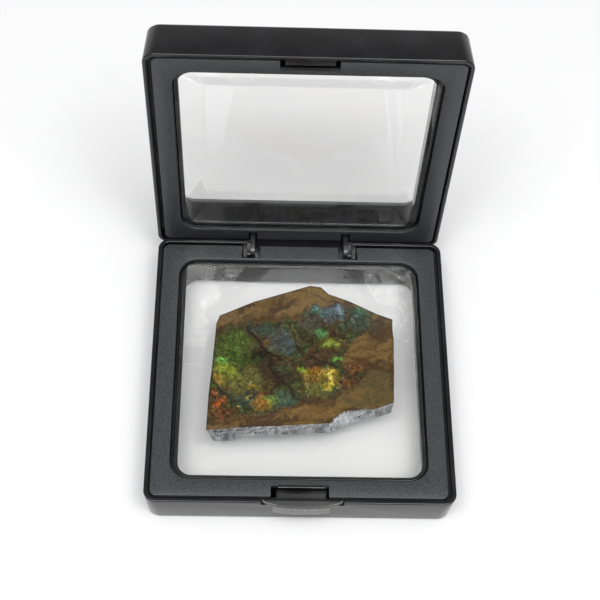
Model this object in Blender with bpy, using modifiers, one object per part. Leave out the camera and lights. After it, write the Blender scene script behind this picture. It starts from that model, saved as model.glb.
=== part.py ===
"""A slab of ammolite in a hinged suspension case, standing open at a right angle.

Two square black half shells each hold a clear film, clamped by a retaining frame. The slab lies on
the base's film. The lid turns on two pins at the back, and a hook at the front catches it when shut.
Each half is modelled lying on its outer face, with z running from that face to the parting plane.
The lid's hinge side is at -y in that position, and its pivot stands it up behind the base.
"""

import math

import bmesh
import bpy
import numpy as np
from mathutils import Euler, Matrix, Vector

MM = 0.001

# Half shells
CASE_HALF = 35.0 * MM
BASE_HEIGHT = 10.2 * MM
LID_HEIGHT = 9.4 * MM
CLOSED_GAP = 0.3 * MM
DRAFT = 0.65 * MM
CORNER_RADIUS = 2.8 * MM
FACE_EDGE_RADIUS = 0.9 * MM
RIM_EDGE_RADIUS = 0.3 * MM
RIM_WALL = 1.0 * MM
LOWER_WALL = 2.0 * MM
FLOOR = 1.4 * MM

# Window and its lip
LIP_INNER = 27.7 * MM
LIP_OUTER = 28.8 * MM
WINDOW_FLARE = 0.7 * MM
WINDOW_CHAMFER = 0.9 * MM
WINDOW_CHAMFER_DEPTH = 1.6 * MM
SHOULDER_HALF = 29.9 * MM
LIP_CORNER = 3.2 * MM

# Depths of the layers under each parting plane
FRAME_TOP = 0.2 * MM
FRAME_THICKNESS = 1.1 * MM
LIP_TOP = 1.2 * MM
LEDGE_TOP = 1.6 * MM
FILM_TOP = 0.6 * MM
FILM_THICKNESS = 0.3 * MM

# Retaining frames
FRAME_OUTER = 33.4 * MM
FRAME_INNER = 29.28 * MM
FRAME_OUTER_CORNER = 1.5 * MM
FRAME_INNER_CORNER = 4.4 * MM
BASE_FRAME_SHIFT = -0.23 * MM
LID_FRAME_SHIFT = 0.26 * MM

# Films
FILM_HALF = 28.7 * MM
FILM_CORNER = 3.9 * MM
FILM_TRIM = 0.1 * MM
FILM_LEVEL_EDGE = 27.4 * MM
FILM_SLOPE = 5.1 * MM
BASE_FILM_DEPTH = 2.4 * MM
LID_FILM_DEPTH = 1.7 * MM
FILM_GRID = 14

# Hinge: the axis in the base's own position, and the ears that turn on it
AXIS_BACK = 33.6 * MM
AXIS_HEIGHT = 7.4 * MM
EAR_RADIUS = 3.0 * MM
EAR_WIDTH = 1.5 * MM
EAR_FOOT = 2.4 * MM
EARS_CENTRE = 0.2 * MM
EARS_HALF_SPAN = 12.3 * MM
EAR_PLAY = 0.35 * MM
LID_SHIFT = -0.36 * MM
WEB_OUTER_FACE = 1.0 * MM
WEB_INNER_FACE = 0.1 * MM
WEB_REACH = 2.7 * MM
STOP_RISE = 1.2 * MM
STOP_START = 1.0 * MM
STOP_HALF_SPAN = 8.0 * MM
PIN_RADIUS = 0.45 * MM
BORE_RADIUS = 0.65 * MM
PIN_LENGTH = 2.6 * MM
BORE_DEPTH = 2.2 * MM

# Hinge side of the base
CUTOUT_LEFT = -13.1 * MM
CUTOUT_RIGHT = 12.8 * MM
CUTOUT_BOTTOM = 4.1 * MM
CHEEK_WIDTH = 1.0 * MM
CHEEK_FRONT = 30.3 * MM
CHEEK_TOP = 9.7 * MM
BOSS_WIDTH = 3.0 * MM
BOSS_FRONT = 32.3 * MM
BOSS_BOTTOM = 5.7 * MM
BOSS_TOP = 8.5 * MM
WALL_BACK = 34.5 * MM
NOTCH_FRONT = 29.8 * MM
LEFT_NOTCH = (-14.4 * MM, -9.8 * MM)
RIGHT_NOTCH = (9.45 * MM, 14.2 * MM)

# Latch, in the base's own position
LATCH_SLOT = (-6.65 * MM, 6.4 * MM)
LATCH_SLOT_DEPTH = 2.6 * MM
LIP_TIPS = (-8.5 * MM, 9.45 * MM)
LIP_TIP_FRONT = -34.6 * MM
LIP_BULGE = 1.4 * MM
LIP_BACK = -34.0 * MM
LIP_THICKNESS = 1.0 * MM
SKIRT = (-6.2 * MM, 6.6 * MM)
SKIRT_BOTTOM = 5.9 * MM
SKIRT_BACK = -35.32 * MM
TONGUE = (-5.4 * MM, 6.0 * MM)
TONGUE_HEIGHTS = (7.0 * MM, 8.3 * MM)
HOOK = (-5.1 * MM, 5.7 * MM)
HOOK_FRONT = -31.9 * MM
HOOK_BACK = -31.1 * MM
HOOK_TOP = 11.6 * MM
LATCH_PLAY = 0.35 * MM

# Catch slot and catch rib in the lid
CATCH_SLOT = (-6.1 * MM, 6.7 * MM)
CATCH_SLOT_DEPTH = 2.9 * MM
CATCH_RIB = (-5.0 * MM, 5.6 * MM)
CATCH_RIB_INNER = 32.3 * MM
CATCH_RIB_DEPTH = 0.5 * MM

# Slab: where it lies and its outline seen from above, anticlockwise from the back left
SLAB_BOTTOM = 7.5 * MM
SLAB_TOP = 12.4 * MM
SLAB_OUTLINE_MM = (
    (-19.2, 11.8), (-20.0, 9.5), (-20.1, 7.3), (-20.7, -2.7), (-21.2, -9.1), (-21.5, -18.5),
    (-10.6, -17.5), (-4.1, -17.2), (6.8, -16.4), (8.7, -15.6), (12.9, -13.5), (17.6, -12.4),
    (21.5, -10.9), (21.9, -2.0), (22.1, 6.2), (21.9, 8.8), (22.0, 11.5), (18.4, 12.9),
    (11.9, 16.3), (6.8, 18.3), (5.0, 20.2), (2.4, 20.6), (-4.3, 18.2), (-11.1, 15.8),
)
SLAB_SAMPLES = 72
SLAB_TOP_RINGS = 7
SLAB_INNERMOST = 0.12
SLAB_EDGE = 0.35 * MM
SLAB_RIPPLE = 0.8 * MM
SLAB_WAVE = 0.1 * MM
SLAB_SIDE = ((0.0, SLAB_EDGE), (0.07, 0.0), (0.5, -0.1 * MM), (0.93, 0.0))
CHIP_CENTRE = (10.6 * MM, -15.9 * MM, 10.9 * MM)
CHIP_SIZE = (4.6 * MM, 1.8 * MM, 4.2 * MM)
CHIP_TURN = (math.radians(24), math.radians(-8), math.radians(33))

# The hinge axis in the lid's own position
LID_AXIS_Z = LID_HEIGHT + BASE_HEIGHT + CLOSED_GAP - AXIS_HEIGHT

# The row's origin is under the middle of everything, so the base's centre lies in front of it
LID_PLANE_Y = AXIS_BACK + BASE_HEIGHT + CLOSED_GAP - AXIS_HEIGHT
LID_BACK_Y = LID_PLANE_Y + LID_HEIGHT
LATCH_FRONT_Y = LIP_TIP_FRONT - LIP_BULGE
BASE_CENTRE_Y = -(LID_BACK_Y + LATCH_FRONT_Y) / 2

ARC_STEPS = 5
ROUND_SIDES = 24
OVERLAP = 1.0 * MM
CUTTER_LAP = 0.1 * MM
FINE_MERGE = 1e-6


def clear_scene():
    """Removes the objects that the scene starts with."""
    for obj in list(bpy.data.objects):
        bpy.data.objects.remove(obj, do_unlink=True)


def new_collection(name):
    """A collection of the scene."""
    made = bpy.data.collections.new(name)
    bpy.context.scene.collection.children.link(made)
    return made


def put_in(collection, name, mesh):
    """An object for the mesh, in the collection."""
    obj = bpy.data.objects.new(name, mesh)
    collection.objects.link(obj)
    return obj


def mesh_from(name, bm):
    """Turns a bmesh into a mesh with its faces pointing out."""
    bmesh.ops.recalc_face_normals(bm, faces=bm.faces)
    mesh = bpy.data.meshes.new(name)
    bm.to_mesh(mesh)
    bm.free()
    return mesh


def arc(centre, radius, start, end, steps=ARC_STEPS):
    """Points along an arc, with its angles in degrees."""
    angles = np.radians(np.linspace(start, end, steps + 1))
    return [(centre[0] + radius * math.cos(a), centre[1] + radius * math.sin(a)) for a in angles]


def rounded_square(half, radius, shift=0.0):
    """The outline of a square with rounded corners, moved along x by shift."""
    inner = half - radius
    points = []
    for start, sign_x, sign_y in ((0, 1, 1), (90, -1, 1), (180, -1, -1), (270, 1, -1)):
        points += arc((shift + sign_x * inner, sign_y * inner), radius, start, start + 90)
    return points


def prism(name, outlines, low, high, along_x=False):
    """Flat outlines filled and extruded from low to high, along z or, for outlines in y and z, along x."""
    curve = bpy.data.curves.new(name, "CURVE")
    curve.dimensions = "2D"
    curve.fill_mode = "BOTH"
    curve.extrude = (high - low) / 2
    for outline in outlines:
        spline = curve.splines.new("POLY")
        spline.points.add(len(outline) - 1)
        for point, (x, y) in zip(spline.points, outline):
            point.co = (x, y, 0, 1)
        spline.use_cyclic_u = True
    flat = bpy.data.objects.new(name, curve)
    bpy.context.scene.collection.objects.link(flat)
    turn = Matrix(((0, 0, 1), (1, 0, 0), (0, 1, 0))).to_4x4() if along_x else Matrix.Identity(4)
    flat.matrix_world = turn @ Matrix.Translation((0, 0, (low + high) / 2))
    bpy.context.view_layer.update()
    mesh = bpy.data.meshes.new_from_object(flat.evaluated_get(bpy.context.evaluated_depsgraph_get()))
    placed = flat.matrix_world.copy()
    bpy.data.objects.remove(flat)
    bpy.data.curves.remove(curve)
    bm = bmesh.new()
    bm.from_mesh(mesh)
    bpy.data.meshes.remove(mesh)
    bmesh.ops.remove_doubles(bm, verts=bm.verts, dist=FINE_MERGE)
    bm.transform(placed)
    return mesh_from(name, bm)


def box(name, low, high):
    """A box between two corners."""
    bm = bmesh.new()
    bmesh.ops.create_cube(bm, size=1.0)
    low, high = Vector(low), Vector(high)
    size = high - low
    for vert in bm.verts:
        vert.co = low + Vector(s * (c + 0.5) for s, c in zip(size, vert.co))
    return mesh_from(name, bm)


def rod(name, radius, start_x, end_x, y, z):
    """A cylinder along x."""
    bm = bmesh.new()
    bmesh.ops.create_cone(
        bm, cap_ends=True, segments=ROUND_SIDES, radius1=radius, radius2=radius, depth=abs(end_x - start_x)
    )
    middle = ((start_x + end_x) / 2, y, z)
    bm.transform(Matrix.Translation(middle) @ Matrix.Rotation(math.pi / 2, 4, "Y"))
    return mesh_from(name, bm)


def drafted_block(name, low_half, high_half, low, high, corner, low_edge=0.0, high_edge=0.0):
    """A square block whose walls lean, with rounded upright corners and, where asked, rounded end edges."""
    bm = bmesh.new()
    bmesh.ops.create_cube(bm, size=2.0)
    for vert in bm.verts:
        half = high_half if vert.co.z > 0 else low_half
        height = high if vert.co.z > 0 else low
        vert.co = (vert.co.x * half, vert.co.y * half, height)
    uprights = [e for e in bm.edges if abs(e.verts[0].co.z - e.verts[1].co.z) > (high - low) / 2]
    bmesh.ops.bevel(bm, geom=uprights, offset=corner, segments=ARC_STEPS, profile=0.5, affect="EDGES")
    for height, radius in ((low, low_edge), (high, high_edge)):
        if radius:
            ends = [e for e in bm.edges if all(abs(v.co.z - height) < FINE_MERGE for v in e.verts)]
            bmesh.ops.bevel(bm, geom=ends, offset=radius, segments=2, profile=0.5, affect="EDGES")
    return mesh_from(name, bm)


class Workshop:
    """Adds parts and cutters, and joins or cuts the parts with live Boolean modifiers."""

    def __init__(self):
        self.parts = new_collection("ammolite_specimen")
        self.cutters = new_collection("cutters")
        self.cutters.hide_render = True

    def part(self, name, mesh, material):
        """A visible part with its own material."""
        obj = put_in(self.parts, name, mesh)
        obj.data.materials.append(material)
        return obj

    def work(self, obj, operation, meshes):
        """Joins the meshes to obj, or cuts them from it, in order."""
        for mesh in meshes:
            tool = put_in(self.cutters, mesh.name, mesh)
            tool.display_type = "WIRE"
            tool.hide_render = True
            modifier = obj.modifiers.new(mesh.name, "BOOLEAN")
            modifier.operation = operation
            modifier.object = tool
            modifier.solver = "EXACT"
            tool.parent = obj

    def cut(self, obj, *meshes):
        """Cuts each mesh from obj."""
        self.work(obj, "DIFFERENCE", meshes)

    def join(self, obj, *meshes):
        """Joins each mesh to obj."""
        self.work(obj, "UNION", meshes)


def material(name, colour, roughness, metallic=0.0, transmission=0.0):
    """A Principled BSDF."""
    made = bpy.data.materials.new(name)
    made.use_nodes = True
    shader = made.node_tree.nodes["Principled BSDF"]
    shader.inputs["Base Color"].default_value = (*colour, 1.0)
    shader.inputs["Roughness"].default_value = roughness
    shader.inputs["Metallic"].default_value = metallic
    shader.inputs["Transmission Weight"].default_value = transmission
    return made


def half_shell(shop, name, height, finish):
    """One half of the case: rim, ledge for the frame, channel, window with its lip and flared mouth."""
    face_half = CASE_HALF - DRAFT
    mesh = drafted_block(
        name, face_half, CASE_HALF, 0.0, height, CORNER_RADIUS, FACE_EDGE_RADIUS, RIM_EDGE_RADIUS
    )
    shell = shop.part(name, mesh, finish)
    above = height + OVERLAP
    ledge = height - LEDGE_TOP
    lip = height - LIP_TOP
    rim_inner = rounded_square(CASE_HALF - RIM_WALL, CORNER_RADIUS - RIM_WALL)
    channel_outer = rounded_square(CASE_HALF - LOWER_WALL, CORNER_RADIUS - RIM_WALL)
    lip_corner = LIP_CORNER + LIP_OUTER - LIP_INNER
    shoulder_corner = LIP_CORNER + SHOULDER_HALF - LIP_INNER
    lip_outer = rounded_square(LIP_OUTER, lip_corner)
    shop.cut(
        shell,
        prism(name + "_well", [rim_inner], lip, above),
        prism(name + "_ledge", [rim_inner, lip_outer], ledge, lip + OVERLAP / 2),
        prism(
            name + "_channel",
            [channel_outer, rounded_square(SHOULDER_HALF, shoulder_corner)],
            FLOOR,
            ledge + OVERLAP / 4,
        ),
        window_cutter(name + "_window", height),
        chamfer_cutter(name + "_mouth"),
    )
    return shell


def window_cutter(name, height):
    """The window's slightly flared sides, from its lip down to the outer face."""
    slope = WINDOW_FLARE / (height - LIP_TOP)
    low, high = -OVERLAP, height
    return drafted_block(
        name,
        LIP_INNER + WINDOW_FLARE + slope * OVERLAP,
        LIP_INNER - slope * (high - height + LIP_TOP),
        low,
        high,
        LIP_CORNER,
    )


def chamfer_cutter(name):
    """The wide chamfer around the window's mouth in the outer face."""
    inner = LIP_INNER + WINDOW_FLARE * (1 - WINDOW_CHAMFER_DEPTH / BASE_HEIGHT) - CUTTER_LAP
    slope = WINDOW_CHAMFER / WINDOW_CHAMFER_DEPTH
    return drafted_block(
        name,
        inner + WINDOW_CHAMFER + slope * OVERLAP,
        inner,
        -OVERLAP,
        WINDOW_CHAMFER_DEPTH,
        LIP_CORNER,
    )


def retaining_frame(shop, name, height, shift, finish):
    """The flat frame that clamps a film, lying on the shell's ledge."""
    outlines = [
        rounded_square(FRAME_OUTER, FRAME_OUTER_CORNER, shift),
        rounded_square(FRAME_INNER, FRAME_INNER_CORNER, shift),
    ]
    top = height - FRAME_TOP
    return shop.part(name, prism(name, outlines, top - FRAME_THICKNESS, top), finish)


def frame_slot(name, span, inner_y, outer_y, height):
    """A cutter right through a frame, from inner_y out past its edge."""
    low_y, high_y = sorted((inner_y, outer_y))
    return box(name, (span[0], low_y, height - 3 * OVERLAP), (span[1], high_y, height + OVERLAP))


def film(shop, name, height, depth, finish):
    """A clear film over the lip, drawn down to a level middle: its drop is a smooth step from each side.

    The grid's lines are spaced as a sine, so that they crowd towards the lip, where the film bends.
    """
    top = height - FILM_TOP
    bpy.ops.mesh.primitive_grid_add(
        x_subdivisions=FILM_GRID, y_subdivisions=FILM_GRID, size=2 * FILM_HALF, location=(0, 0, 0)
    )
    sheet = bpy.context.object
    places = np.array([v.co for v in sheet.data.vertices])
    places[:, :2] = FILM_HALF * np.sin(places[:, :2] / FILM_HALF * math.pi / 2)
    reach = np.clip((FILM_LEVEL_EDGE - np.abs(places[:, :2])) / FILM_SLOPE, 0.0, 1.0)
    steps = reach * reach * (3 - 2 * reach)
    places[:, 2] = top - depth * steps[:, 0] * steps[:, 1]
    sheet.data.vertices.foreach_set("co", places.astype(np.float32).ravel())
    mesh = sheet.data.copy()
    bpy.data.objects.remove(sheet)
    made = shop.part(name, mesh, finish)
    thick = made.modifiers.new("thickness", "SOLIDIFY")
    thick.thickness = FILM_THICKNESS
    thick.offset = -1.0
    outline = rounded_square(FILM_HALF - FILM_TRIM, FILM_CORNER)
    trim = prism(name + "_trim", [outline], top - depth - OVERLAP, top + OVERLAP)
    shop.work(made, "INTERSECT", [trim])
    return made


def hinge_side_of_base(shop, shell):
    """The gap in the base's back wall, and on each side of it a cheek and a boss with a blind pin bore."""
    shop.cut(
        shell,
        box(
            "hinge_gap",
            (CUTOUT_LEFT, BOSS_FRONT, CUTOUT_BOTTOM),
            (CUTOUT_RIGHT, CASE_HALF + OVERLAP, BASE_HEIGHT + OVERLAP),
        ),
    )
    for side, face, out in (("left", CUTOUT_LEFT, -1), ("right", CUTOUT_RIGHT, 1)):
        cheek_x = sorted((face, face + out * CHEEK_WIDTH))
        boss_x = sorted((face, face + out * BOSS_WIDTH))
        shop.join(
            shell,
            box(
                side + "_cheek",
                (cheek_x[0], CHEEK_FRONT, FLOOR - OVERLAP / 2),
                (cheek_x[1], WALL_BACK, CHEEK_TOP),
            ),
            box(side + "_boss", (boss_x[0], BOSS_FRONT, BOSS_BOTTOM), (boss_x[1], WALL_BACK, BOSS_TOP)),
        )
        start = face - out * OVERLAP
        end = face + out * BORE_DEPTH
        shop.cut(shell, rod(side + "_bore", BORE_RADIUS, start, end, AXIS_BACK, AXIS_HEIGHT))


def latch_opening(shop, shell):
    """The dip in the front wall that the thumb lip lies in, and the gap that its tongue passes through."""
    top = BASE_HEIGHT + OVERLAP
    front = -CASE_HALF - OVERLAP
    back = -CASE_HALF + LOWER_WALL + OVERLAP / 4
    dip = BASE_HEIGHT - LIP_THICKNESS - LATCH_PLAY
    shop.cut(
        shell,
        box("lip_dip", (LIP_TIPS[0] - LATCH_PLAY, front, dip), (LIP_TIPS[1] + LATCH_PLAY, back, top)),
        box(
            "tongue_gap",
            (TONGUE[0] - LATCH_PLAY, front, TONGUE_HEIGHTS[0] - LATCH_PLAY),
            (TONGUE[1] + LATCH_PLAY, back, top),
        ),
    )


def lip_front(x):
    """How far forward the boat-shaped thumb lip reaches at x."""
    middle = (LIP_TIPS[0] + LIP_TIPS[1]) / 2
    share = abs(x - middle) / (LIP_TIPS[1] - middle)
    return LIP_TIP_FRONT - LIP_BULGE * (1 - share**3)


def lip_outline(left, right, back, steps=14):
    """The stretch of the thumb lip's outline from left to right, closed by a straight back edge."""
    xs = np.linspace(left, right, steps + 1)
    return [(x, lip_front(x)) for x in xs] + [(right, back), (left, back)]


def latch(shop, finish):
    """The thumb lip with its skirt, and the tongue that carries the hook inside."""
    lip_low = BASE_HEIGHT - LIP_THICKNESS
    lip = prism("latch", [lip_outline(*LIP_TIPS, LIP_BACK)], lip_low, BASE_HEIGHT)
    made = shop.part("latch", lip, finish)
    shop.join(
        made,
        prism("skirt", [lip_outline(*SKIRT, SKIRT_BACK)], SKIRT_BOTTOM, lip_low + OVERLAP / 4),
        box(
            "tongue",
            (TONGUE[0], SKIRT_BACK - OVERLAP / 4, TONGUE_HEIGHTS[0]),
            (TONGUE[1], HOOK_BACK, TONGUE_HEIGHTS[1]),
        ),
        box(
            "hook",
            (HOOK[0], HOOK_FRONT, TONGUE_HEIGHTS[0] + OVERLAP / 4),
            (HOOK[1], HOOK_BACK - OVERLAP / 8, HOOK_TOP),
        ),
    )
    return made


def ear_outline():
    """A hinge ear seen along the axis: upright sides that end in a round about the axis."""
    flat_y = -(AXIS_BACK + WEB_OUTER_FACE)
    foot = LID_HEIGHT - EAR_FOOT
    last = 90 + math.degrees(math.asin(WEB_OUTER_FACE / EAR_RADIUS))
    round_end = arc((-AXIS_BACK, LID_AXIS_Z), EAR_RADIUS, 0, last, 2 * ARC_STEPS)
    return [(flat_y, foot), (-AXIS_BACK + EAR_RADIUS, foot)] + round_end


def hinge_side_of_lid(shop, shell):
    """Two ears with outward pins, and between them the web that fills the base's gap when the case is shut."""
    left = EARS_CENTRE - EARS_HALF_SPAN
    right = EARS_CENTRE + EARS_HALF_SPAN
    outer = -(AXIS_BACK + WEB_OUTER_FACE)
    web_top = LID_AXIS_Z + WEB_REACH
    shop.join(
        shell,
        prism("left_ear", [ear_outline()], left, left + EAR_WIDTH, along_x=True),
        prism("right_ear", [ear_outline()], right - EAR_WIDTH, right, along_x=True),
        box(
            "web",
            (left + EAR_WIDTH / 2, outer, LID_HEIGHT - LEDGE_TOP + OVERLAP / 8),
            (right - EAR_WIDTH / 2, -(AXIS_BACK + WEB_INNER_FACE), web_top),
        ),
        box(
            "stop_rib",
            (EARS_CENTRE - STOP_HALF_SPAN, outer + OVERLAP / 8, LID_AXIS_Z + STOP_START),
            (EARS_CENTRE + STOP_HALF_SPAN, -AXIS_BACK + STOP_RISE, web_top - OVERLAP / 8),
        ),
        rod("left_pin", PIN_RADIUS, left - PIN_LENGTH, left + EAR_WIDTH / 2, -AXIS_BACK, LID_AXIS_Z),
        rod("right_pin", PIN_RADIUS, right - EAR_WIDTH / 2, right + PIN_LENGTH, -AXIS_BACK, LID_AXIS_Z),
    )


def catch_rib(shop, shell):
    """The small rib inside the lid's free edge that the hook passes behind."""
    shop.join(
        shell,
        box(
            "catch_rib",
            (CATCH_RIB[0], CATCH_RIB_INNER, LID_HEIGHT - CATCH_RIB_DEPTH),
            (CATCH_RIB[1], CASE_HALF - RIM_WALL + OVERLAP / 4, LID_HEIGHT - OVERLAP / 8),
        ),
    )


def spread(outline, count):
    """Points at even spacing round a closed outline."""
    corners = np.array(outline + (outline[0],), float) * MM
    lengths = np.hypot(*np.diff(corners, axis=0).T)
    along = np.concatenate([[0.0], np.cumsum(lengths)])
    wanted = np.linspace(0.0, along[-1], count, endpoint=False)
    return np.column_stack([np.interp(wanted, along, corners[:, axis]) for axis in (0, 1)])


def top_relief(places):
    """The slight rise and fall of the polished top, as a sum of slow waves across the slab."""
    x, y = places.T / MM
    return SLAB_WAVE * (np.sin(0.31 * x + 0.9) * np.cos(0.27 * y) + 0.6 * np.sin(0.52 * y - 0.23 * x))


def slab_rings():
    """The slab's rings of points: up its side from the underside, then in over its top."""
    rim = spread(SLAB_OUTLINE_MM, SLAB_SAMPLES)
    centre = rim.mean(axis=0)
    away = rim - centre
    reach = np.hypot(*away.T)[:, None]
    ripple = np.sin(1.7 * np.arange(SLAB_SAMPLES))[:, None]
    rings = []
    for share, inset in SLAB_SIDE:
        pull = inset + SLAB_RIPPLE * ripple * share * (1 - share)
        height = np.full(SLAB_SAMPLES, SLAB_BOTTOM + share * (SLAB_TOP - SLAB_BOTTOM))
        rings.append(np.column_stack([centre + away * (1 - pull / reach), height]))
    for scale in np.linspace(1.0, SLAB_INNERMOST, SLAB_TOP_RINGS):
        places = centre + away * (1 - SLAB_EDGE / reach) * scale
        rings.append(np.column_stack([places, SLAB_TOP + top_relief(places)]))
    return rings


def slab(shop, finish):
    """The specimen: one slab with steep broken sides, eased edges and a chip out of its front edge."""
    rings = slab_rings()
    points = np.concatenate(rings)
    around = np.arange(SLAB_SAMPLES)
    ahead = (around + 1) % SLAB_SAMPLES
    faces = [tuple(int(i) for i in around[::-1])]
    for level in range(len(rings) - 1):
        low, high = level * SLAB_SAMPLES, (level + 1) * SLAB_SAMPLES
        faces += [(int(low + a), int(low + b), int(high + b), int(high + a)) for a, b in zip(around, ahead)]
    faces.append(tuple(int(i + (len(rings) - 1) * SLAB_SAMPLES) for i in around))
    mesh = bpy.data.meshes.new("ammolite_slab")
    mesh.from_pydata(points.tolist(), [], faces)
    made = shop.part("ammolite_slab", mesh, finish)
    half = Vector(CHIP_SIZE) / 2
    chip = box("chip", -half, half)
    chip.transform(Matrix.Translation(CHIP_CENTRE) @ Euler(CHIP_TURN).to_matrix().to_4x4())
    shop.cut(made, chip)
    return made


def hold(name, places, location, turn_x=0.0):
    """An empty that carries objects, each with where it lies in the empty's own frame."""
    empty = bpy.data.objects.new(name, None)
    empty.location = location
    empty.rotation_euler.x = turn_x
    bpy.context.scene.collection.objects.link(empty)
    for obj, place in places:
        obj.parent = empty
        obj.location = place
    return empty


def build_base(shop, gloss, matte, clear, stone):
    """The lower half with its film, latch and slab, and the empty at the middle of its underside."""
    shell = half_shell(shop, "base_shell", BASE_HEIGHT, gloss)
    hinge_side_of_base(shop, shell)
    latch_opening(shop, shell)
    frame = retaining_frame(shop, "base_frame", BASE_HEIGHT, BASE_FRAME_SHIFT, matte)
    shop.cut(
        frame,
        frame_slot("left_notch", LEFT_NOTCH, NOTCH_FRONT, CASE_HALF, BASE_HEIGHT),
        frame_slot("right_notch", RIGHT_NOTCH, NOTCH_FRONT, CASE_HALF, BASE_HEIGHT),
        frame_slot("latch_slot", LATCH_SLOT, LATCH_SLOT_DEPTH - FRAME_OUTER, -CASE_HALF, BASE_HEIGHT),
    )
    sheet = film(shop, "base_film", BASE_HEIGHT, BASE_FILM_DEPTH, clear)
    pieces = [shell, frame, sheet, latch(shop, gloss), slab(shop, stone)]
    hold("base_centre", [(piece, (0, 0, 0)) for piece in pieces], (0, BASE_CENTRE_Y, 0))


def build_lid(shop, gloss, matte, clear):
    """The upper half, hung from an empty on the hinge axis that stands it upright."""
    shell = half_shell(shop, "lid_shell", LID_HEIGHT, gloss)
    hinge_side_of_lid(shop, shell)
    catch_rib(shop, shell)
    frame = retaining_frame(shop, "lid_frame", LID_HEIGHT, LID_FRAME_SHIFT, matte)
    ear_room = -AXIS_BACK + EAR_RADIUS + EAR_PLAY
    cuts = [frame_slot("catch_slot", CATCH_SLOT, FRAME_OUTER - CATCH_SLOT_DEPTH, CASE_HALF, LID_HEIGHT)]
    for name, side in (("left_ear_room", -1), ("right_ear_room", 1)):
        outer = EARS_CENTRE + side * (EARS_HALF_SPAN + EAR_PLAY)
        inner = EARS_CENTRE + side * (EARS_HALF_SPAN - EAR_WIDTH - EAR_PLAY)
        cuts.append(frame_slot(name, sorted((outer, inner)), ear_room, -CASE_HALF, LID_HEIGHT))
    shop.cut(frame, *cuts)
    sheet = film(shop, "lid_film", LID_HEIGHT, LID_FILM_DEPTH, clear)
    place = (LID_SHIFT, AXIS_BACK, -LID_AXIS_Z)
    pivot = (0, BASE_CENTRE_Y + AXIS_BACK, AXIS_HEIGHT)
    hold("lid_pivot", [(piece, place) for piece in (shell, frame, sheet)], pivot, math.pi / 2)


def main():
    clear_scene()
    shop = Workshop()
    gloss = material("black_gloss_plastic", (0.012, 0.012, 0.013), 0.18)
    matte = material("dark_matte_plastic", (0.045, 0.047, 0.048), 0.55)
    clear = material("clear_film", (0.95, 0.96, 0.96), 0.04, transmission=1.0)
    stone = material("ammolite", (0.16, 0.09, 0.04), 0.2)
    build_base(shop, gloss, matte, clear, stone)
    build_lid(shop, gloss, matte, clear)


main()
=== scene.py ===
"""An ammolite slab on the clear film of a hinged case that stands open at a right angle.

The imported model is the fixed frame. Each half of the case is worked out lying on its outer face, in
millimetres, with z running from that face to the parting plane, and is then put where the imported
model has it: the base flat on the floor, the lid upright behind it. The lid's hinge side is at -y.
"""

import logging
import math
from abc import ABC, abstractmethod
from dataclasses import dataclass, field
from enum import Enum
from typing import Any

import bmesh
import bpy
import numpy as np
from mathutils import Matrix, Vector

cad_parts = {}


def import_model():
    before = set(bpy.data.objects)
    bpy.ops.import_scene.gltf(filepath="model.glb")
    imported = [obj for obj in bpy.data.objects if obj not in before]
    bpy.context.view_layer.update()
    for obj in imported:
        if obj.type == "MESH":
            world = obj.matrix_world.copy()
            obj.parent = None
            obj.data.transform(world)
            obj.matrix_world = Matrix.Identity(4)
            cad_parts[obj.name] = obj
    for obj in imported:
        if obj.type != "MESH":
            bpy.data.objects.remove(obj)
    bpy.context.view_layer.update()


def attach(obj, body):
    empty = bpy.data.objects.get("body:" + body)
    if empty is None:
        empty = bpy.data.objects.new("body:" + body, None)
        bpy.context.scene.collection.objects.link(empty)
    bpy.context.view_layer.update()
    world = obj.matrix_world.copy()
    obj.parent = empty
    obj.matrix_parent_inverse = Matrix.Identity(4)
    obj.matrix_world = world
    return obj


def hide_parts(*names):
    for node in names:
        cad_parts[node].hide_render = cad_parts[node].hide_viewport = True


LOG = logging.getLogger("ammolite_case")
Array = np.ndarray
Tree = bpy.types.NodeTree
Point = tuple[float, float]
MM = 0.001

# Where each half's own origin lies in the frame, in millimetres.
BASE_PLACE = (0.0, -5.05, 0.0)
LID_PLACE = (-0.36, 41.05, 41.0)

# Cutters start out here, beyond the outer walls.
OUTSIDE = 36.0

# Cutters reach this far over the parting plane, and in a retaining frame this far under it.
CUT_OVER = 1.0
CUT_UNDER = 3.0

# Joined solids stop this short of a neighbour's face, so that no two faces share a plane.
STEP = 0.12

# Joined solids reach this far into each other.
ROOT = 0.25


class Half(Enum):
    """The two halves of the case, named as the bodies that carry them."""

    BASE = "base"
    LID = "lid"

    def place(self) -> Matrix:
        """The matrix from this half's own millimetres to the frame's metres."""
        if self is Half.BASE:
            return Matrix.Translation([part * MM for part in BASE_PLACE]) @ Matrix.Scale(MM, 4)
        upright = Matrix.Rotation(math.pi / 2, 4, "X")
        return Matrix.Translation([part * MM for part in LID_PLACE]) @ upright @ Matrix.Scale(MM, 4)


class Along(Enum):
    """The axis that an outline is carried along."""

    X = (1, 2, 0)
    Z = (0, 1, 2)


@dataclass
class Skin:
    """A surface in millimetres: its points, its quads and the flat caps that close its ends."""

    points: Array
    quads: Array
    caps: list[Array] = field(default_factory=list)

    def mesh(self, name: str) -> bpy.types.Mesh:
        """Makes the mesh, turned so that its faces point outwards.

        Args:
            name: the mesh's name.

        Returns:
            The mesh, still in millimetres.
        """
        made = bpy.data.meshes.new(name)
        faces = self.quads.tolist() + [cap.tolist() for cap in self.caps]
        made.from_pydata(self.points.tolist(), [], faces)
        a, b, c, d = (self.points[self.quads[:, i]] for i in range(4))
        volumes = (a * (np.cross(b, c) + np.cross(c, d))).sum(axis=1)
        if volumes.sum() < 0:
            made.flip_normals()
        return made


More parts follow.
